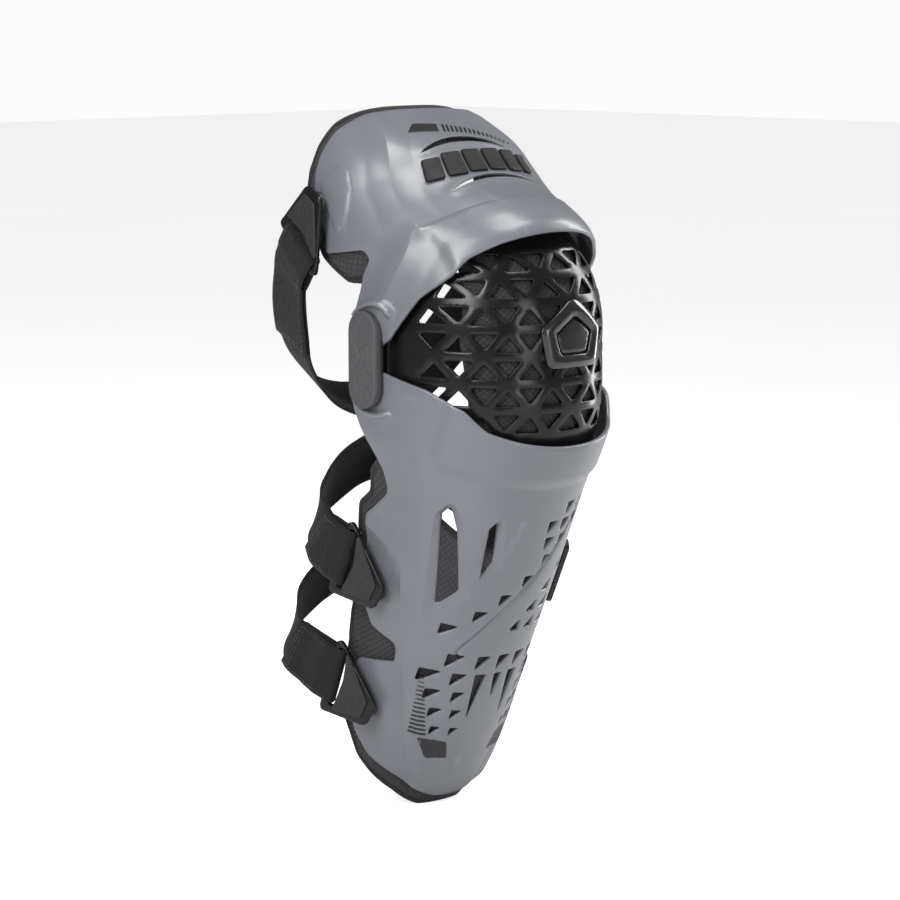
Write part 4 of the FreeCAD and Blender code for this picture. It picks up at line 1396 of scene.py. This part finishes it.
def waffle_fabric():
    """Charcoal liner: an embossed diamond grid over fine knit, with lint, and painted shade in the grid's grooves."""
    f = Finish("waffle_fabric", rough=0.85, Sheen_Weight=0.06, Sheen_Roughness=0.5)
    flat = f.place(uv=True)
    split = f.node("SeparateXYZ")
    f.plug(split.inputs[0], flat)
    s, h = split.outputs[0], split.outputs[1]
    pitch = 2 * math.pi / (3.3 * MM)
    one = f.math("SINE", f.math("MULTIPLY", f.math("ADD", s, h), pitch / 1.414))
    two = f.math("SINE", f.math("MULTIPLY", f.math("SUBTRACT", s, h), pitch / 1.414))
    cells = f.ramp(f.math("MAXIMUM", one, two), 0.55, 1.0, 1.0, 0.0)
    knit = f.math("SINE", f.math("MULTIPLY", s, 2 * math.pi / (0.7 * MM)))
    lint = f.ramp(f.noise(260, 6), 0.62, 0.75, 0, 0.5)
    # The grid's grooves get the darker colour: painted shade in the grooves, on top of the bump's own shading.
    base = f.mix(cells, (0.016, 0.016, 0.018), (0.036, 0.034, 0.037))
    f.put("Base Color", f.mix(lint, base, (0.06, 0.058, 0.062)))
    f.bump(f.math("ADD", cells, f.math("MULTIPLY", knit, 0.12)), 0.7, 0.55)
    return f.material


def knit_fabric(name, tone, pitch_mm=1.1, uv=False):
    """Dark fabric with a fine knit and a soft sheen."""
    f = Finish(name, rough=0.9, Sheen_Weight=0.08, Sheen_Roughness=0.45)
    at = f.place(uv)
    split = f.node("SeparateXYZ")
    f.plug(split.inputs[0], at)
    a, b = (split.outputs[0], split.outputs[1]) if uv else (split.outputs[0], split.outputs[2])
    turn = 2 * math.pi / (pitch_mm * MM)
    across = f.math("SINE", f.math("MULTIPLY", b, turn))
    weave = f.math("MULTIPLY", f.math("SINE", f.math("MULTIPLY", a, turn)), across)
    lint = f.ramp(f.noise(300, 6), 0.6, 0.75, 0, 0.4)
    base = f.mix(f.ramp(weave, -1, 1), tuple(c * 0.6 for c in tone), tone)
    f.put("Base Color", f.mix(lint, base, tuple(min(1, c * 2.6) for c in tone)))
    f.bump(f.math("ADD", weave, f.math("MULTIPLY", f.noise(900, 4), 1.2)), 0.5, 0.3)
    return f.material


def loop_pile():
    """Strap webbing: brushed loop pile between woven selvedges, with specks of lint."""
    f = Finish("loop_pile", rough=0.95, Sheen_Weight=0.08, Sheen_Roughness=0.35)
    flat = f.place(uv=True)
    split = f.node("SeparateXYZ")
    f.plug(split.inputs[0], flat)
    along, across = split.outputs[0], split.outputs[1]
    off = f.math("ABSOLUTE", across)
    edge = f.ramp(off, 16.6 * MM, 17.4 * MM)
    pile = f.math("ADD", f.noise(1500, 5), f.math("MULTIPLY", f.noise(420, 4), 0.9))
    rib = f.math("SINE", f.math("MULTIPLY", along, 2 * math.pi / (1.0 * MM)))
    lint = f.ramp(f.noise(700, 2), 0.74, 0.78)
    base = f.mix(f.ramp(pile, 0.7, 1.2), (0.0025, 0.0025, 0.003), (0.009, 0.009, 0.0105))
    base = f.mix(edge, base, (0.006, 0.006, 0.0065))
    f.put("Base Color", f.mix(f.math("MULTIPLY", lint, 0.35), base, (0.3, 0.3, 0.32)))
    height = f.mix(edge, f.math("MULTIPLY", pile, 1.4), f.math("MULTIPLY", rib, 0.25))
    f.bump(height, 0.8, 0.5)
    return f.material


def brushed_steel():
    """Blackened steel links and rivets with a fine turned grain."""
    f = Finish("blackened_steel", Metallic=1.0)
    grain = f.noise(900, 3, stretch=(0.1, 1, 1))
    f.put("Base Color", f.mix(grain, (0.1, 0.1, 0.105), (0.2, 0.2, 0.21)))
    f.put("Roughness", f.ramp(grain, 0.3, 0.7, 0.28, 0.45))
    f.bump(grain, 0.1, 0.03)
    return f.material


def printed_ink():
    f = Finish("printed_ink", rough=0.4)
    wear = f.noise(700, 5)
    f.put("Base Color", f.mix(f.ramp(wear, 0.62, 0.75, 0, 0.35), (0.008, 0.008, 0.009), (0.05, 0.055, 0.06)))
    f.put("Roughness", f.ramp(wear, 0.3, 0.7, 0.34, 0.5))
    return f.material


def thread():
    f = Finish("thread", rough=0.8, Sheen_Weight=0.3)
    twist = f.noise(2500, 2)
    f.put("Base Color", f.mix(twist, (0.012, 0.012, 0.013), (0.04, 0.04, 0.043)))
    f.bump(twist, 0.4, 0.1)
    return f.material


def pale_floor():
    f = Finish("pale_floor", rough=0.7)
    colour = f.mix(f.noise(3, 3), (0.86, 0.86, 0.87), (0.89, 0.89, 0.895))
    f.put("Base Color", colour)
    f.put("Emission Color", colour)
    f.put("Emission Strength", f.math("MULTIPLY", f.node("LightPath").outputs["Is Camera Ray"], 0.8))
    return f.material


FINISHES = {
    "grey_shell": moulded_grey(),
    "black_cup": satin_black("satin_black_cup", 0.005, (0.2, 0.3)),
    "gloss_badge": gloss_black(),
    "hinge_cover": matt_inlay("hinge_cover_grey", (0.078, 0.076, 0.08), 0.2),
    "steel": brushed_steel(),
    "nylon": satin_black("nylon", 0.02, (0.4, 0.5)),
    "liner_fabric": waffle_fabric(),
    "foam_pad": knit_fabric("brushed_pad", (0.016, 0.016, 0.018)),
    "clip_plastic": satin_black("satin_black_clip", 0.005, (0.2, 0.32)),
    "clip_inlay": matt_inlay("clip_inlay", (0.026, 0.024, 0.026)),
    "strap_webbing": loop_pile(),
    "badge": matt_inlay("badge_black", (0.006, 0.0055, 0.006), 0.35),
    "ink": printed_ink(),
    "thread": thread(),
    "tape": knit_fabric("edge_tape", (0.012, 0.011, 0.013), 0.9, uv=True),
}


def finish_all():
    """Give every shown piece the finish of its slot, or its own."""
    own = {s["node"]: s["material_slot"] for s in frame["record"]["subparts"]}
    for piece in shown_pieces():
        key = piece.get("finish") or piece.get("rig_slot") or own.get(piece.get("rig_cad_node"))
        piece.data.materials.clear()
        piece.data.materials.append(FINISHES[key])


# ---- pieces ----
def add(piece, body, slot_name, *nodes, look=None):
    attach(piece, body)
    dress(piece, slot_name, *nodes, look=look)
    return piece


def dress(piece, slot_name, *nodes, look=None):
    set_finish(piece, slot_name)
    if look:
        piece["finish"] = look
    if nodes:
        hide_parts(*nodes)


def build_shells():
    add(thigh_shell(), "thigh", "grey_shell", "thigh_shell")
    add(shin_shell(), "shin", "grey_shell", "shin_shell")
    add(knee_cup(), "knee", "black_cup", "knee_cup")
    for side, name in ((1, "right"), (-1, "left")):
        add(hinge_cover(side, name + "_hinge_cover_cap"), "knee", "hinge_cover", name + "_hinge_cover")
    frame_piece, plate = knee_emblem()
    add(frame_piece, "knee", "gloss_badge", "knee_emblem")
    add(plate, "knee", "gloss_badge")
    add(joined("thigh_badge_bars", thigh_badge()), "thigh", "gloss_badge", "thigh_badge", look="badge")


def build_prints():
    add(joined("thigh_print", decal("thigh_ink", THIGH, thigh_relief, thigh_print())), "thigh", "gloss_badge",
        look="ink")
    for side, name in ((1, "left"), (-1, "right")):
        loops = shin_print(side)
        add(joined(name + "_shin_print", decal(name + "_ink", SHIN, shin_relief, loops)), "shin", "gloss_badge",
            look="ink")


def build_soft():
    add(liner("thigh_liner_sheet", THIGH, THIGH_LINER_OUTLINE), "thigh", "liner_fabric", "thigh_liner")
    add(liner("shin_liner_sheet", SHIN, SHIN_LINER_OUTLINE), "shin", "liner_fabric", "shin_liner")
    add(knee_liner(), "knee", "liner_fabric", "knee_liner")
    add(binding("thigh_liner_tape", THIGH, THIGH_LINER_OUTLINE), "thigh", "liner_fabric", look="tape")
    add(binding("shin_liner_tape", SHIN, SHIN_LINER_OUTLINE), "shin", "liner_fabric", look="tape")
    add(swollen("thigh_pad_cushion", "thigh_pad", 4.0, 0.004), "thigh", "foam_pad", "thigh_pad")
    add(swollen("shin_pad_cushion", "shin_pad", 4.0, 0.004), "shin", "foam_pad", "shin_pad")


def build_straps():
    for name, spot in SPOTS.items():
        clip, limb = name + "_clip", "thigh" if spot["leg"] is THIGH else "shin"
        add(clip_body(name), clip, "clip_plastic", clip)
        add(clip_inlay(name), clip, "clip_inlay", clip + "_face")
        points, _, _, _, tab = strap_frames(name)
        start = leg_to_row(spot["leg"], points[tab + 40])
        end = leg_to_row(spot["leg"], points[tab + 12])
        web, seams = strap(name), stitch_rows(name)
        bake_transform(web)
        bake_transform(seams)
        dress(web, "strap_webbing", name + "_strap", name + "_strap_loop")
        dress(seams, "strap_webbing", look="thread")


build_shells()
build_prints()
build_soft()
build_straps()
finish_all()


# ---- camera and light ----
CAMERA_LENS, CAMERA_DISTANCE, CAMERA_SHIFT = 133.3, 2.2, (0.0053, 0.0663)
WORLD_LIGHT, WORLD_SEEN = 0.2, 0.97     # strength on the object, and strength the camera sees
LAMPS = [                               # name, place, size, power
    ("key", (-1.5, -0.3, 1.0), (0.6, 1.6), 31),
    ("top", (0.2, -0.4, 1.7), (0.9, 0.6), 17),
    ("rim", (1.4, -0.3, 0.4), (0.35, 1.5), 16),
]


def camera():
    data = bpy.data.cameras.new("camera")
    data.lens = CAMERA_LENS
    cam = bpy.data.objects.new("camera", data)
    back = Vector((-0.7003, -0.7003, 0.1392)).normalized()
    right = Vector((0.7071, -0.7071, 0))
    up = back.cross(right)
    cam.matrix_world = Matrix((right, up, back)).transposed().to_4x4()
    cam.location = back * CAMERA_DISTANCE - right * CAMERA_SHIFT[0] - up * CAMERA_SHIFT[1]
    bpy.context.scene.collection.objects.link(cam)
    bpy.context.scene.camera = cam


def area(name, place, target, size, power):
    data = bpy.data.lights.new(name, "AREA")
    data.shape = "RECTANGLE"
    data.size, data.size_y = size
    data.energy = power
    lamp = bpy.data.objects.new(name, data)
    lamp.location = place
    lamp.rotation_mode = "QUATERNION"
    lamp.rotation_quaternion = (Vector(target) - Vector(place)).to_track_quat("-Z", "Y")
    bpy.context.scene.collection.objects.link(lamp)


def backdrop():
    """White to the camera, dimmer as a light on the object."""
    world = bpy.data.worlds.new("studio")
    bpy.context.scene.world = world
    world.use_nodes = True
    tree = world.node_tree
    background = tree.nodes["Background"]
    seen = tree.nodes.new("ShaderNodeLightPath")
    level = tree.nodes.new("ShaderNodeMapRange")
    tree.links.new(seen.outputs["Is Camera Ray"], level.inputs[0])
    level.inputs[3].default_value = WORLD_LIGHT
    level.inputs[4].default_value = WORLD_SEEN
    tree.links.new(level.outputs[0], background.inputs[1])
    background.inputs[0].default_value = (1, 1, 1, 1)


def studio():
    low = cad_box[0].z
    floor = new_mesh("studio_floor", [(-9, -9, low), (9, -9, low), (9, 9, low), (-9, 9, low)], [(0, 1, 2, 3)])
    floor.data.materials.append(pale_floor())
    backdrop()
    for name, place, size, power in LAMPS:
        area(name, place, (0, 0, 0), size, power)
    area("front", (-0.5, -1.9, 0.3), (0, 0, -0.05), (0.6, 1.2), 9)
    bpy.context.scene.view_settings.view_transform = "Standard"


camera()
studio()
